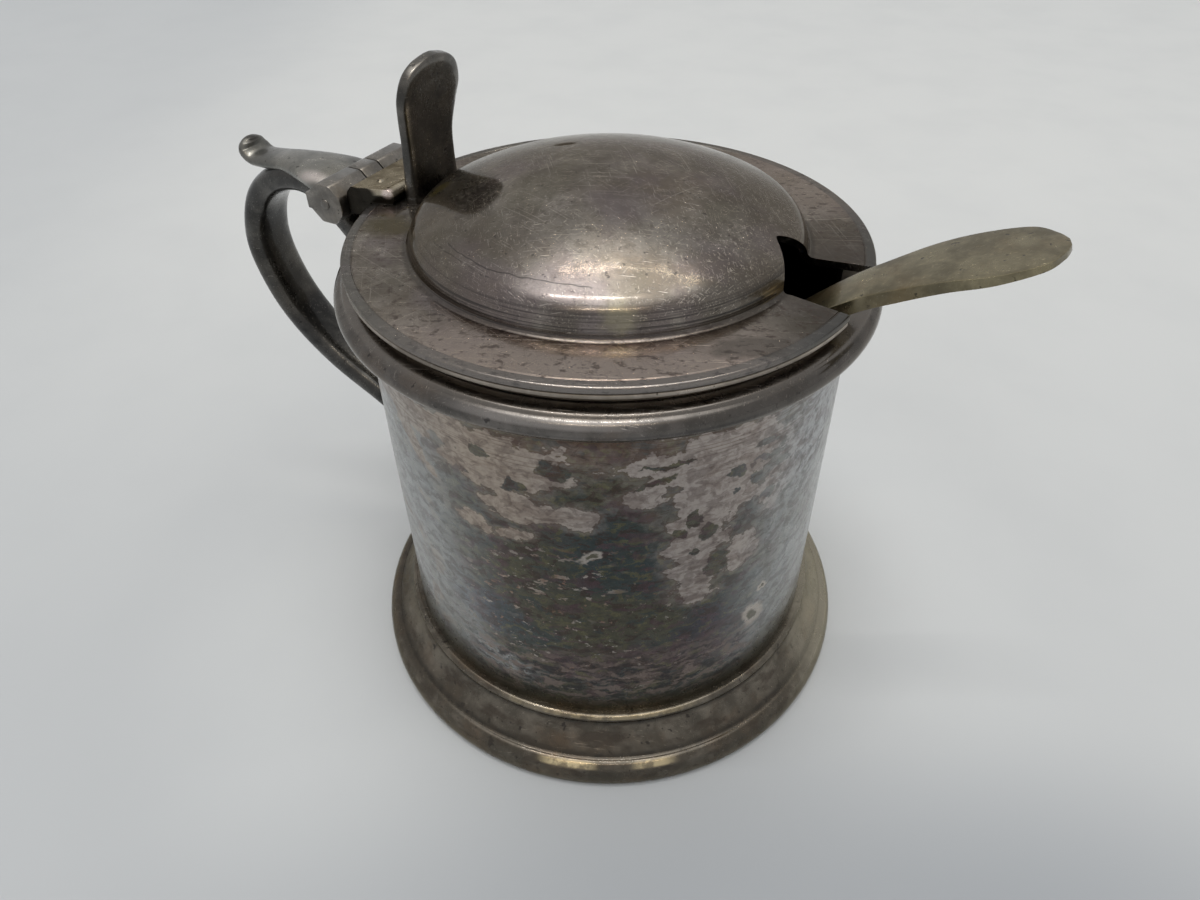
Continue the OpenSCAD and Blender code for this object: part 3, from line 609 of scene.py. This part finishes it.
# lid: one sheet drawn into a dome and a flange, with an arched notch for the spoon
lid = {"crownZ": 24.7, "crownRadius": 46, "shoulderX": 18.7, "shoulderZ": 61.86, "shoulderRadius": 4.4,
       "filletX": 23.611, "filletRadius": 0.6, "edge": 0.3, "lineRadius": 29.3, "lineDepth": 0.07,
       "notchHalf": 4.4, "notchRise": 3.9, "archPower": 1.45, "flare": 1.3, "flareStart": 23.7, "flareEnd": 31.5,
       "flange": (170, 156, 146), "lilac": (122, 110, 116), "olive": (106, 101, 84),
       "tone": (150, 143, 134), "dark": (98, 91, 82), "film": (120, 107, 92), "speck": (52, 46, 42),
       "scratch": (192, 184, 174), "cloud": 7, "rough": (0.13, 0.24), "filmShare": 0.65,
       "speckSize": 0.6, "scratchShare": 0.75, "blotch": 0.75,
       "scratches": [(24, 15, 0.08, 0.325), (71, 18, 0.07, 0.32), (128, 12, 0.08, 0.32), (163, 20, 0.07, 0.325)]}


def lidSheet():
    # outer line from crown to edge with its outward normals, the inner line one sheet thickness behind it
    top, rise, crownZ, crownRadius = pot["lidTop"], lid["notchRise"], lid["crownZ"], lid["crownRadius"]
    bendX, bendZ, bendRadius = lid["shoulderX"], lid["shoulderZ"], lid["shoulderRadius"]
    fillet, filletZ = lid["filletRadius"], pot["lidTop"] + lid["filletRadius"]
    crownEnd = 90 - math.degrees(math.asin(bendX / (crownRadius - bendRadius)))
    shoulderTop = crownZ + crownRadius * math.sin(math.radians(crownEnd))
    archAngle = math.degrees(math.asin((top + rise - crownZ) / crownRadius))
    drop = top + rise - rise * (1 - np.cos(np.linspace(0, math.acos((shoulderTop - top) / rise), 16)))
    nearArch = np.degrees(np.arcsin((drop - crownZ) / crownRadius))
    crown = np.concatenate([np.linspace(90, archAngle, 64)[:-1], nearArch])
    firstCut = 63
    bendEnd = math.degrees(math.asin((filletZ - bendZ) / (bendRadius + fillet)))
    bend, hollow = np.linspace(crownEnd, bendEnd, 18)[1:], np.linspace(180 + bendEnd, 270, 14)[1:]
    outer, normal = [], []
    for degrees, radius, x, z, way in ((crown, crownRadius, 0, crownZ, 1), (bend, bendRadius, bendX, bendZ, 1),
                                       (hollow, fillet, lid["filletX"], filletZ, -1)):
        spoke = np.stack([np.cos(np.radians(degrees)), np.sin(np.radians(degrees))], -1)
        outer.append(spoke * radius + (x, z))
        normal.append(spoke * way)
    groove = lid["lineRadius"] + np.array([-0.12, -0.04, 0.04, 0.12])
    flange = np.concatenate([np.linspace(lid["filletX"], lid["lineRadius"] - 0.3, 22)[1:], groove,
                             np.linspace(lid["lineRadius"] + 0.3, pot["lidRadius"] - lid["edge"], 4)])
    outer = np.vstack([*outer, np.stack([flange, 0 * flange + top], -1)])
    inner = outer - np.vstack([*normal, np.tile([0, 1], (len(flange), 1))]) * pot["lidSheet"]
    outer[:, 1] -= lid["lineDepth"] * (np.abs(outer[:, 0] - lid["lineRadius"]) < 0.05)
    edgeX, edge = pot["lidRadius"] - lid["edge"], lid["edge"]
    lip = arcPoints(edgeX, top - edge, edge, 90, 0, 6)[1:]
    under = arcPoints(edgeX, top - pot["lidSheet"] + edge, edge, -90, 0, 6)[1:]
    outer, inner = np.vstack([outer, lip]), np.vstack([inner, under])
    # half width of the notch at each point: (1 - height^n)^(1/n) up the dome, a widening slot across the flange
    high = np.clip((outer[:, 1] - top) / rise, 0, 1)
    arch = lid["notchHalf"] * (1 - high ** lid["archPower"]) ** (1 / lid["archPower"])
    arch[: firstCut + 1] = 0
    return outer, inner, arch, firstCut


def notchAngle(radius, half):
    # the angle at which a circle meets the notch's side, settled in a few rounds because the slot widens outwards
    angle = np.arcsin(np.clip(half / np.maximum(radius, 1e-6), 0, 1))
    for _ in range(6):
        out = (radius * np.cos(angle) - lid["flareStart"]) / (lid["flareEnd"] - lid["flareStart"])
        widen = lid["flare"] * np.clip(out, 0, 1)
        angle = np.arcsin(np.clip((half + widen * (half > 0)) / np.maximum(radius, 1e-6), 0, 1))
    return angle


def slotted(line, half):
    # every point (r, z) goes round the Z axis from one side of the notch to the other: a + (2 pi - 2 a) share
    a = notchAngle(line[:, 0], half)[:, None]
    turn = a + (2 * np.pi - 2 * a) * np.linspace(0, 1, pot["turnSteps"] + 1)
    return np.stack([line[:, :1] * np.cos(turn), line[:, :1] * np.sin(turn), line[:, 1:] + 0 * turn], -1)


outer, inner, arch, firstCut = lidSheet()
lidLine = np.vstack([outer, inner[::-1]])
lidGrid = slotted(lidLine, np.concatenate([arch, arch[::-1]]))
lidIds = np.arange(lidGrid.shape[0] * lidGrid.shape[1]).reshape(lidGrid.shape[:2])
cut, far = np.arange(firstCut, len(outer) - 1), len(lidLine) - 1
around = (cut, cut + 1, far - cut - 1, far - cut)
walls = np.concatenate([np.stack([lidIds[row, c] for row in around], -1) for c in (0, -1)])


def lidFinish():
    # brown-grey film over silver with olive and lilac clouds, painted shade on the dome's sides and in a dent, brush
    # lines round the dome's foot and a few stains
    b = finishBench("lidSilver", lid)
    rough, height = silver(b)
    hue = b.noise(10, 3, 0.55, on=b.seen((12, 44, 3)))
    b.lay(b.rise(hue, 0.5, 0.66, 0.4), "lilac")
    b.lay(b.rise(hue, 0.48, 0.34, 0.4), "olive")
    ahead = b.along(faceDir)
    side = b.along(rightDir)
    flat = b.rise(b.z, 62.7, 62.3)
    # painted shade: the dome darker on its left and right
    b.lay(b.rise(b.math("ABSOLUTE", side), 9, 21, 0.55), b.rise(b.z, 62.3, 62.7), (88, 80, 67))
    b.lay(b.rise(b.noise(0.35, 1, 0.5, on=b.seen((9, 6, 2))), 0.69, 0.73, 0.35), "scratch")
    b.lay(flat, b.rise(ahead, 14, 27, 0.8), b.fall(side, 14, 20), "flange")
    b.lay(flat, b.rise(side, 12, 22, 0.7), b.rise(ahead, -4, 8), "speck")
    b.lay(flat, b.rise(side, 12, 22, 0.6), b.rise(ahead, 0, -9), "flange")
    freckle = b.rise(b.noise(0.9, 5, 0.75, on=b.seen((2, 1, 0), (1.6, 1, 1), viewAngle)), 0.53, 0.63, 0.7)
    b.lay(freckle, flat, (70, 56, 50))
    rings = b.pair(b.times(b.r, 4), b.times(b.z, 4))
    brush = b.noise(1, 3, 0.7, on=b.vector("ADD", rings, b.seen((0, 0, 0), (24, 24, 24))))
    lowDome = b.times(b.rise(b.z, 66, 63.4), b.rise(b.z, 62.25, 62.5))
    b.lay(b.rise(brush, 0.47, 0.62), lowDome, 0.8, (42, 39, 38))
    b.lay(b.rise(b.z, 63.2, 62.35), b.rise(b.r, 24, 23.5), 0.6, (50, 46, 41))
    # two thin crack-like lines along the shoulder on the left of the front
    around = b.math("ARCTAN2", b.y, b.x)
    sway = b.plus(b.r, b.fade(b.noise(5, 2, 0.5), 0.2, 0.8, -0.4, 0.4))
    crack = b.band(sway, 19.95, 0.02, 0.08)
    crack = b.times(crack, b.rise(around, -2.15, -2.05), b.fall(around, -1.2, -1.15))
    twin = b.band(sway, 20.6, 0.02, 0.08, 0.8)
    twin = b.times(twin, b.rise(around, -2.25, -2.1), b.fall(around, -1.75, -1.6))
    crack = b.most(crack, b.times(twin, b.rise(b.noise(0.8, 2), 0.4, 0.5)))
    crack = b.times(crack, b.rise(b.z, 63.5, 64))
    b.lay(crack, 0.65, (36, 34, 33))
    b.daub((150, 143, 118), (11.3, -19.3, 64.3), (2.2, 2.2, 1.6), 0.4, 1.2, 0.6, ragged=(1.2, 1.8))
    # painted shade of a small dent in the crown, with less clear film there
    dentShade = b.spot(b.here, (-7.7, 3.9, 69.9), (1.6, 0.85, 0.9), viewAngle)
    b.lay(b.fall(dentShade, 0.6, 1, 0.92), (34, 31, 29))
    b.daub((80, 71, 40), (-23.4, -10.6, 62.4), (4.4, 3.4, 2.4), 0.4, 1.15, 0.85, ragged=(2, 2.6))
    b.daub((140, 126, 66), (-18.6, -6.4, 66.2), (1.6, 2.2, 1.6), 0.4, 1.1, 0.8, ragged=(1.4, 1.6))
    b.lay(flat, b.rise(b.r, 29.2, 29.5, 0.55), (96, 98, 98))
    b.daub((64, 61, 54), (23.2, -15.2, 62.2), (4.2, 2, 2), 0.7, 1.15, 0.5, 40, ragged=(2, 2.4))
    height = b.less(height, b.times(brush, lowDome, 0.3))
    rough = b.plus(rough, b.rise(b.x, -8, -17, 0.12))
    return b.close(rough, height, coat=b.rise(dentShade, 0.6, 1.1, 0.5), edge=(190, 182, 172))


settle("lidCover", lidGrid, "lid", "lid_silver", lidFinish(), "lid_cover", 40, 0.1, colsClose=False, capEnds=False,
       moreFaces=walls.tolist())

# bezel: the ring under the lid with a lip that drops inside the drum, cut by the same notch
# the bezel's tone is painted paler than the metal, as painted light in the dark gap under the lid
bezel = {**base, "tone": (190, 180, 168), "dark": (140, 132, 122), "bends": [0.2, 0.2, 0.1, 0.1, 0.1, 0.12, 0.12, 0.1],
         "corners": [(27.1, -2), (27.8, -2), (27.8, 0.1), (29, 0.1), (29, 1.4), (30.4, 1.4), (30.4, 1.9), (27.1, 1.9)]}
bezelLine = softCorners(np.array(bezel["corners"]) + (0, pot["drumTop"]), bezel["bends"], 4)
bezelGrid = slotted(bezelLine, np.full(len(bezelLine), lid["notchHalf"]))
settle("lidBezel", bezelGrid.transpose(1, 0, 2), "lid", "inner_silver", turnedFinish("bezelSilver", bezel), "lid_bezel")
print("lid made")

# hinge: eight-sided knuckles on a pin, and the strap that carries the lid's knuckle
hinge = {"acrossFlats": 5.2, "webHalf": 1.04, "corner": 0.3, "bore": 0.72, "ease": 0.16,
         "near": (-7.8, -1.75), "far": (1.75, 7.8), "lidKnuckle": (-1.6, 1.6),
         "pin": [(0, 8), (0.4, 7.98), (0.6, 7.92), (0.7, 7.78)],
         "tone": (144, 138, 130), "dark": (104, 100, 94), "film": (134, 122, 104), "speck": (44, 41, 38),
         "scratch": (172, 164, 154), "cloud": 3, "rough": (0.24, 0.4), "filmShare": 0.5,
         "scratches": [(40, 3, 0.08, 0.31), (120, 3, 0.08, 0.31)]}


def hingeFinish(name, look):
    # plain handled metal: the shared silver under a thin clear film
    b = finishBench(name, look)
    return b.close(*silver(b), coat=0.5)


def knuckleGrid(low, high, side):
    # an octagon outline with eased corners and a short web, carried along Y with drawn-in ends and back by the bore
    half, web = hinge["acrossFlats"] / 2, hinge["webHalf"]
    step = half * math.tan(math.pi / 8)
    corners = [(half, -step), (pot["plateGap"], -web), (pot["plateGap"], web), (half, step), (step, half),
               (-step, half), (-half, step), (-half, -step), (-step, -half), (step, -half)]
    outline = softCorners(np.array(corners) * (side, 1), [0.02] * 4 + [hinge["corner"]] * 6, 5)
    e = hinge["ease"]
    stops = np.array([(low, e), (low + 0.3 * e, 0.3 * e), (low + e, 0),
                      (high - e, 0), (high - 0.3 * e, 0.3 * e), (high, e)])
    ring = outline[None] * (1 - stops[:, 1] / half)[:, None, None]
    angle = np.arctan2(outline[:, 1], outline[:, 0])
    bore = np.stack([np.cos(angle), np.sin(angle)], -1) * hinge["bore"]
    ring = np.concatenate([ring, bore[None], bore[None]])
    ys = np.concatenate([stops[:, 0], [high, low]])
    return np.stack([ring[..., 0] + pot["hingeX"], ys[:, None] + 0 * ring[..., 0], ring[..., 1] + pot["hingeZ"]], -1)


hingePaint = hingeFinish("hingeSilver", hinge)
for name, key, side, body, node in (("knuckleNear", "near", -1, "pot", "handle_knuckle_near"),
                                    ("knuckleFar", "far", -1, "pot", "handle_knuckle_far"),
                                    ("knuckleLid", "lidKnuckle", 1, "lid", "lid_knuckle")):
    settle(name, knuckleGrid(*hinge[key], side), body, "hinge_silver", hingePaint, node, 30, **closedRing)
pin = np.array(hinge["pin"])
pinGrid = spun(np.vstack([pin * (1, -1), pin[::-1]]), 32)[..., [0, 2, 1]] + (pot["hingeX"], 0, pot["hingeZ"])
settle("hingeRod", pinGrid, "pot", "hinge_silver", hingePaint, "hinge_pin", 50, capEnds=False)

strap = {"halfWidth": 7, "outX": -33.386, "inX": -26.58, "top": 63.7, "low": 60.1, "chamfer": 0.7, "rollRadius": 0.975,
         "taper": 1.12, "dimple": (-30.5, -3.5), "dimpleRadius": 0.55, "ease": 0.35}


def strapGrid():
    # sections across the hinge: a turned-down end, a flat top and a rolled inner edge, over the round of the flange
    half, ease, roll = strap["halfWidth"], strap["ease"], strap["rollRadius"]
    y = np.linspace(-1, 1, 141)
    y = half * np.sign(y) * (1 - (1 - np.abs(y)) ** 1.3)
    near = np.clip((np.abs(y) - half + ease) / ease, 0, 1)
    e = ease * (1 - np.sqrt(1 - near**2)) * 0.8
    narrow = half - strap["taper"]
    inX = strap["inX"] - np.clip((np.abs(y) - narrow) / strap["taper"], 0, 1) * (pot["lidRadius"] + strap["inX"]) - e
    outX, top, low = strap["outX"] + e, strap["top"] - e, strap["low"] + e
    edgeX = np.minimum(-np.sqrt((pot["lidRadius"] + 0.03) ** 2 - y**2), inX - 0.05)
    flangeZ = pot["lidTop"] + 0.01
    rollX, rollZ = inX - roll, top - roll * 0.7
    rollAngle = np.radians(np.linspace(128, -50, 12))
    rollLine = np.stack([rollX[:, None] + roll * np.cos(rollAngle),
                         np.maximum(rollZ[:, None] + roll * np.sin(rollAngle), flangeZ + 0.02)], -1)
    deck = np.linspace(0, 1, 34)
    startX, endX = outX + strap["chamfer"], rollLine[:, 0, 0] - 0.12
    deckLine = np.stack([startX[:, None] + (endX - startX)[:, None] * deck, top[:, None] + 0 * deck], -1)
    pair = lambda a, b: np.stack([a + 0 * y, b + 0 * y], -1)[:, None]
    line = np.concatenate([pair(outX, low), pair(outX, top - strap["chamfer"]), deckLine, rollLine,
                           pair(inX - 0.2, flangeZ), pair(edgeX, flangeZ), pair(edgeX, low)], 1)
    bends = np.full(line.shape[:2], 0.04)
    bends[:, :3] = 0.3
    line = softCorners(line, bends, 3)
    grid = np.stack([line[..., 0], y[:, None] + 0 * line[..., 0], line[..., 1]], -1)
    gap = np.hypot(grid[..., 0] - strap["dimple"][0], (grid[..., 1] - strap["dimple"][1]) * 1.3)
    sink = np.sqrt(np.clip(strap["dimpleRadius"] ** 2 - gap**2, 0, None)) * 0.7
    grid[..., 2] -= sink * (grid[..., 2] > strap["top"] - 0.3)
    return grid


def strapFinish():
    # rubbed beige on top, with painted black shade down its sides and in the corner behind the thumbpiece, and a
    # painted highlight on the roll there
    b = finishBench("strapSilver", {**hinge, "tone": (192, 182, 162), "dark": (128, 120, 106)})
    rough, height = silver(b)
    # painted shade: black below the top and along both sides
    sideShade = b.most(b.rise(b.z, 63.5, 63.1), b.rise(b.math("ABSOLUTE", b.y), 6.4, 6.7))
    b.lay(sideShade, 0.95, (30, 28, 25))
    # painted highlight on the roll at the thumbpiece's base
    b.daub((240, 222, 214), (-27.5, -5.9, 63.6), (0.9, 0.8, 0.8), 0.4, 1.1, 0.9)
    return b.close(rough, height, coat=0.1, edge=(110, 102, 92))


settle("hingeStrap", strapGrid(), "lid", "hinge_silver", strapFinish(), "hinge_strap", 40)

# thumbpiece: an upright paddle, waisted below and round above, hollowed a little in front
thumb = {"x": -25.2, "lean": 2.2, "height": 17, "stem": 8.8, "lobe": 10.8, "thick": 2.3, "hollow": 0.28,
         "tone": (108, 104, 98), "dark": (66, 64, 60), "film": (100, 94, 86), "speck": (34, 32, 30),
         "scratch": (150, 144, 136), "cloud": 4, "rough": (0.22, 0.38), "filmShare": 0.4,
         "scratches": [(60, 4, 0.08, 0.31), (10, 5, 0.08, 0.31)],
         "keys": [(0, 0, 1.06, 1.15), (0, 0.03, 1.05, 1.13), (0, 0.06, 1.03, 1.1), (0.05, 0.22, 1, 1),
                  (0.15, 0.42, 1, 0.95), (0.4, 0.62, 1.12, 0.97), (0.65, 0.76, 1.2, 0.95), (0.84, 0.89, 1.05, 0.85),
                  (0.95, 0.965, 0.7, 0.7), (1, 1, 0.22, 0.45)]}
keys = np.array(thumb["keys"])
gain = 1 + (thumb["lobe"] / thumb["stem"] / 1.2 - 1) * keys[:, 0]
thumbLine = smoothLine(np.stack([thumb["x"] + thumb["lean"] * keys[:, 0], pot["lidTop"] + thumb["height"] * keys[:, 1],
                                 thumb["stem"] * keys[:, 2] * gain, thumb["thick"] * keys[:, 3]], -1), 12)
upShare = (thumbLine[:, 1] - pot["lidTop"]) / thumb["height"]
hollow = thumb["hollow"] * np.clip((upShare - 0.12) / 0.2, 0, 1) * np.clip((0.97 - upShare) / 0.12, 0, 1)
thumbPaint = hingeFinish("thumbSilver", thumb)
settle("thumbPaddle", ovalSweep(thumbLine, 4, 72, hollow), "lid", "hinge_silver", thumbPaint, "thumbpiece", 50)
print("hinge and thumbpiece made")

# handle: a bow between drum and hinge, and a leaf along its top with a turned-up tip
handle = {"reach": 29.3, "width": 7, "thick": 4, "low": 20, "high": 49, "sink": 0.25,
          # out, down from the top as a share of the rise (first four) or the fall, width, thickness
          "bow": [(-0.012, 1.01, 1.47, 1.14), (0.1, 0.9, 1.3, 1.05), (0.24, 0.62, 1.15, 1), (0.4, 0.25, 1, 1),
                  (0.56, 0, 0.92, 1), (0.76, 0.02, 0.92, 1), (0.92, 0.115, 0.95, 1), (1, 0.28, 1, 1),
                  (0.965, 0.44, 1, 1), (0.85, 0.595, 1, 1), (0.635, 0.745, 0.96, 0.97), (0.35, 0.87, 0.9, 0.93),
                  (0.12, 0.975, 0.92, 0.95), (-0.012, 1.008, 1.03, 1.09)],
          "leafWidth": 5.8, "leafThick": 2.2, "leafRoot": 10.4, "leafTip": 2.6,
          "tone": (88, 86, 82), "dark": (42, 41, 40), "film": (76, 71, 62), "speck": (36, 34, 32),
          "scratch": (160, 154, 146), "cloud": 6, "rough": (0.24, 0.4), "filmShare": 0.5,
          "scratches": [(30, 5, 0.09, 0.31), (140, 5, 0.09, 0.31)]}
bowTop = pot["hingeZ"] - 1
fall, stand = bowTop - handle["low"], bowTop - handle["high"]
bowKeys = np.array(handle["bow"])
bowKeys[:, 1] = bowTop - bowKeys[:, 1] * np.where(np.arange(len(bowKeys)) < 4, stand, fall)
bowKeys = bowKeys * (-handle["reach"], 1, handle["width"], handle["thick"]) - (pot["drumRadius"], 0, 0, 0)
bowLine = smoothLine(bowKeys, 12)
bowGrid = ovalSweep(bowLine, 2.6, 56)
seat = pot["drumRadius"] - handle["sink"]
bowGrid[..., 0] = np.minimum(bowGrid[..., 0], -np.sqrt(seat**2 - np.clip(bowGrid[..., 1] ** 2, 0, seat**2)))


def leafFinish():
    # grey silver with a painted highlight where the leaf swells near its root and painted shade along its underside
    b = finishBench("leafSilver", {**handle, "tone": (152, 149, 141), "dark": (104, 103, 98), "film": (134, 128, 112)})
    rough, height = silver(b)
    # painted shade along the leaf's underside
    b.lay(b.rise(b.z, 61.3, 60.3, 0.6), (66, 63, 58))
    # painted highlight near the leaf's root
    b.daub((236, 224, 218), (-42.2, -3.4, 61.8), (2.8, 1.6, 1), 0.3, 1.1, 0.85)
    b.daub((52, 49, 45), (-56.4, 0, 63.4), (1.1, 1.6, 0.8), 0.5, 1.1, 0.8)
    return b.close(rough, height, coat=0.5)


settle("handleBow", bowGrid, "pot", "handle_silver", hingeFinish("bowSilver", handle), "handle", 50)
leafIn = -pot["hingeX"] + pot["plateGap"]
leafRun = pot["drumRadius"] + handle["reach"] - leafIn
root, wide, tip = handle["leafRoot"], handle["leafWidth"], handle["leafTip"]
leafKeys = np.array([
    (0, -0.25, root, 1.4), (0.1, 0.1, root * 0.95, 1.45), (0.27, 0.5, root * 0.77, 1.3), (0.48, 0.7, wide, 1.05),
    (0.7, 0.35, wide * 0.92, 0.92), (0.83, 0.35, wide * 0.88, 0.88), (0.9, tip * 0.5, wide * 0.84, 0.9),
    (0.905, tip * 0.9, wide * 0.62, 0.78), (0.9, tip * 1.07, wide * 0.25, 0.4)])
leafLine = smoothLine(leafKeys * (-leafRun, 1, 1, handle["leafThick"]) + (-leafIn, pot["hingeZ"], 0, 0), 12)
leafGrid = ovalSweep(leafLine, 2.3, 56)
leafGrid[..., 0] = np.minimum(leafGrid[..., 0], -leafIn)
settle("handleLeaf", leafGrid, "pot", "handle_silver", leafFinish(), "handle", 50)
print("handle made")

# liner: a thick blue glass tumbler with a rounded foot and lip
liner = {"radius": 27.4, "wall": 2, "low": 5.05, "floor": 8.05, "top": 54.8, "corner": 2, "colour": (66, 94, 200)}
lip, corner, low, floor = liner["wall"] / 2, liner["corner"], liner["low"], liner["floor"]
bendOut, bendIn = liner["radius"] - corner, liner["radius"] - liner["wall"] - corner
reach = np.linspace(0, 1, 24)[:, None]
linerLine = np.vstack([
    reach * (bendOut, 0) + (0, low), arcPoints(bendOut, low + corner, corner, -90, 0, 12)[1:],
    arcPoints(liner["radius"] - lip, liner["top"] - lip, lip, 0, 180, 20),
    arcPoints(bendIn, floor + corner, corner, 0, -90, 12), reach[::-1][1:] * (bendIn, 0) + (0, floor)])


def glassFinish():
    # clear dark blue glass with the faint ripple of a blown wall
    b = finishBench("cobaltGlass", liner)
    ripple = b.noise(1, 2, 0.5, on=b.seen((0, 0, 0), (6, 6, 10)))
    b.shader.inputs["Transmission Weight"].default_value = 1
    b.shader.inputs["IOR"].default_value = 1.5
    b.colour = b.mix(b.rise(ripple, 0.35, 0.65, 0.35), "colour", (30, 48, 128))
    return b.close(b.fade(ripple, 0.3, 0.7, 0.02, 0.08), ripple, 0.08, 0)


settle("glassLiner", spun(linerLine, 160), "liner", "cobalt_glass", glassFinish(), "glass_liner", 60, capEnds=False)

# spoon: its stem leans on the drum's edge in the notch and its bowl rests on the liner's floor
spoon = {"in": 47, "out": 18.6, "rise": 8.2, "bowlWidth": 14.5, "bowlDepth": 3.6, "stemWidth": 5.1,
         "endWidth": 9.2, "thick": 1.8, "rest": 62.125, "floor": 8.3, "edge": 0.42, "side": -1.5,
         "turn": 13, "ease": 0.16,
         "tone": (148, 138, 110), "dark": (106, 98, 76), "film": (124, 106, 74), "speck": (48, 44, 36),
         "scratch": (176, 166, 138), "cloud": 3.5, "rough": (0.26, 0.42), "filmShare": 0.6, "speckSize": 0.8,
         "scratches": [(24, 6, 0.08, 0.31), (60, 4, 0.08, 0.31)],
         "inner": [(-1, 0.014, 0.1, 0.6, 0), (-0.985, 0.03, 0.42, 0.6, 0.15), (-0.94, 0.078, 0.8, 0.6, 0.7),
                   (-0.872, 0.152, 1, 0.6, 1), (-0.79, 0.25, 0.9, 0.65, 0.8), (-0.72, 0.335, 0.5, 0.85, 0.25),
                   (-0.66, 0.405, 0.27, 1, 0.03), (-0.55, 0.525, 0.25, 1, 0), (-0.3, 0.776, 0.255, 1, 0),
                   (-0.128, 0.915, 0.245, 1, 0)],
         "outer": [(0, 0, 1, 1), (0.215, 0.279, 1.27, 0.95), (0.43, 0.528, 1.6, 0.8), (0.645, 0.715, 1.81, 0.66),
                   (0.86, 0.902, 1.56, 0.5), (0.96, 0.97, 0.85, 0.44), (1, 1, 0.25, 0.4)]}


def spoonGrid():
    # sections along the stem: top and underside bulge by a root of 1 - u^2, and the bowl sinks by 1 - u^2
    drop = spoon["rest"] - spoon["floor"]
    spans = (spoon["in"], drop, spoon["bowlWidth"], spoon["thick"], spoon["bowlDepth"])
    inside = np.array(spoon["inner"]) * spans + (0, spoon["floor"], 0, 0, 0)
    o = np.array(spoon["outer"])
    endGain = 1 + (spoon["endWidth"] / spoon["stemWidth"] / 1.81 - 1) * o[:, 0]
    outside = np.stack([spoon["out"] * o[:, 0], spoon["rest"] + spoon["rise"] * o[:, 1],
                        spoon["stemWidth"] * o[:, 2] * endGain, spoon["thick"] * o[:, 3], 0 * o[:, 0]], -1)
    line = smoothLine(np.vstack([inside, outside]), 10)
    run = np.gradient(line[:, :2], axis=0)
    run /= np.linalg.norm(run, axis=1, keepdims=True)
    u = np.sin(np.linspace(-1, 1, 25) * np.pi / 2)
    hump = 1 - u**2
    thick, dish, half = line[:, 3, None], np.clip(line[:, 4, None], 0, None), line[:, 2, None] / 2
    swell = spoon["edge"] + (0.5 - spoon["edge"]) * np.sqrt(hump)
    across = np.concatenate([u * half, u[::-1] * half], 1)
    through = np.concatenate([thick * swell - dish * hump, (-thick * swell - dish * hump)[:, ::-1]], 1)
    x, y, z = line[:, 0, None] - run[:, 1, None] * through, -across, line[:, 1, None] + run[:, 0, None] * through
    c, s = math.cos(math.radians(spoon["turn"])), math.sin(math.radians(spoon["turn"]))
    return np.stack([x * c - y * s + pot["drumRadius"], x * s + y * c + spoon["side"], z], -1)


spoonPaint = hingeFinish("nickelSpoon", spoon)
settle("mustardSpoon", spoonGrid(), "spoon", "spoon_nickel", spoonPaint, "spoon", 45, spoon["ease"])
print("liner and spoon made")
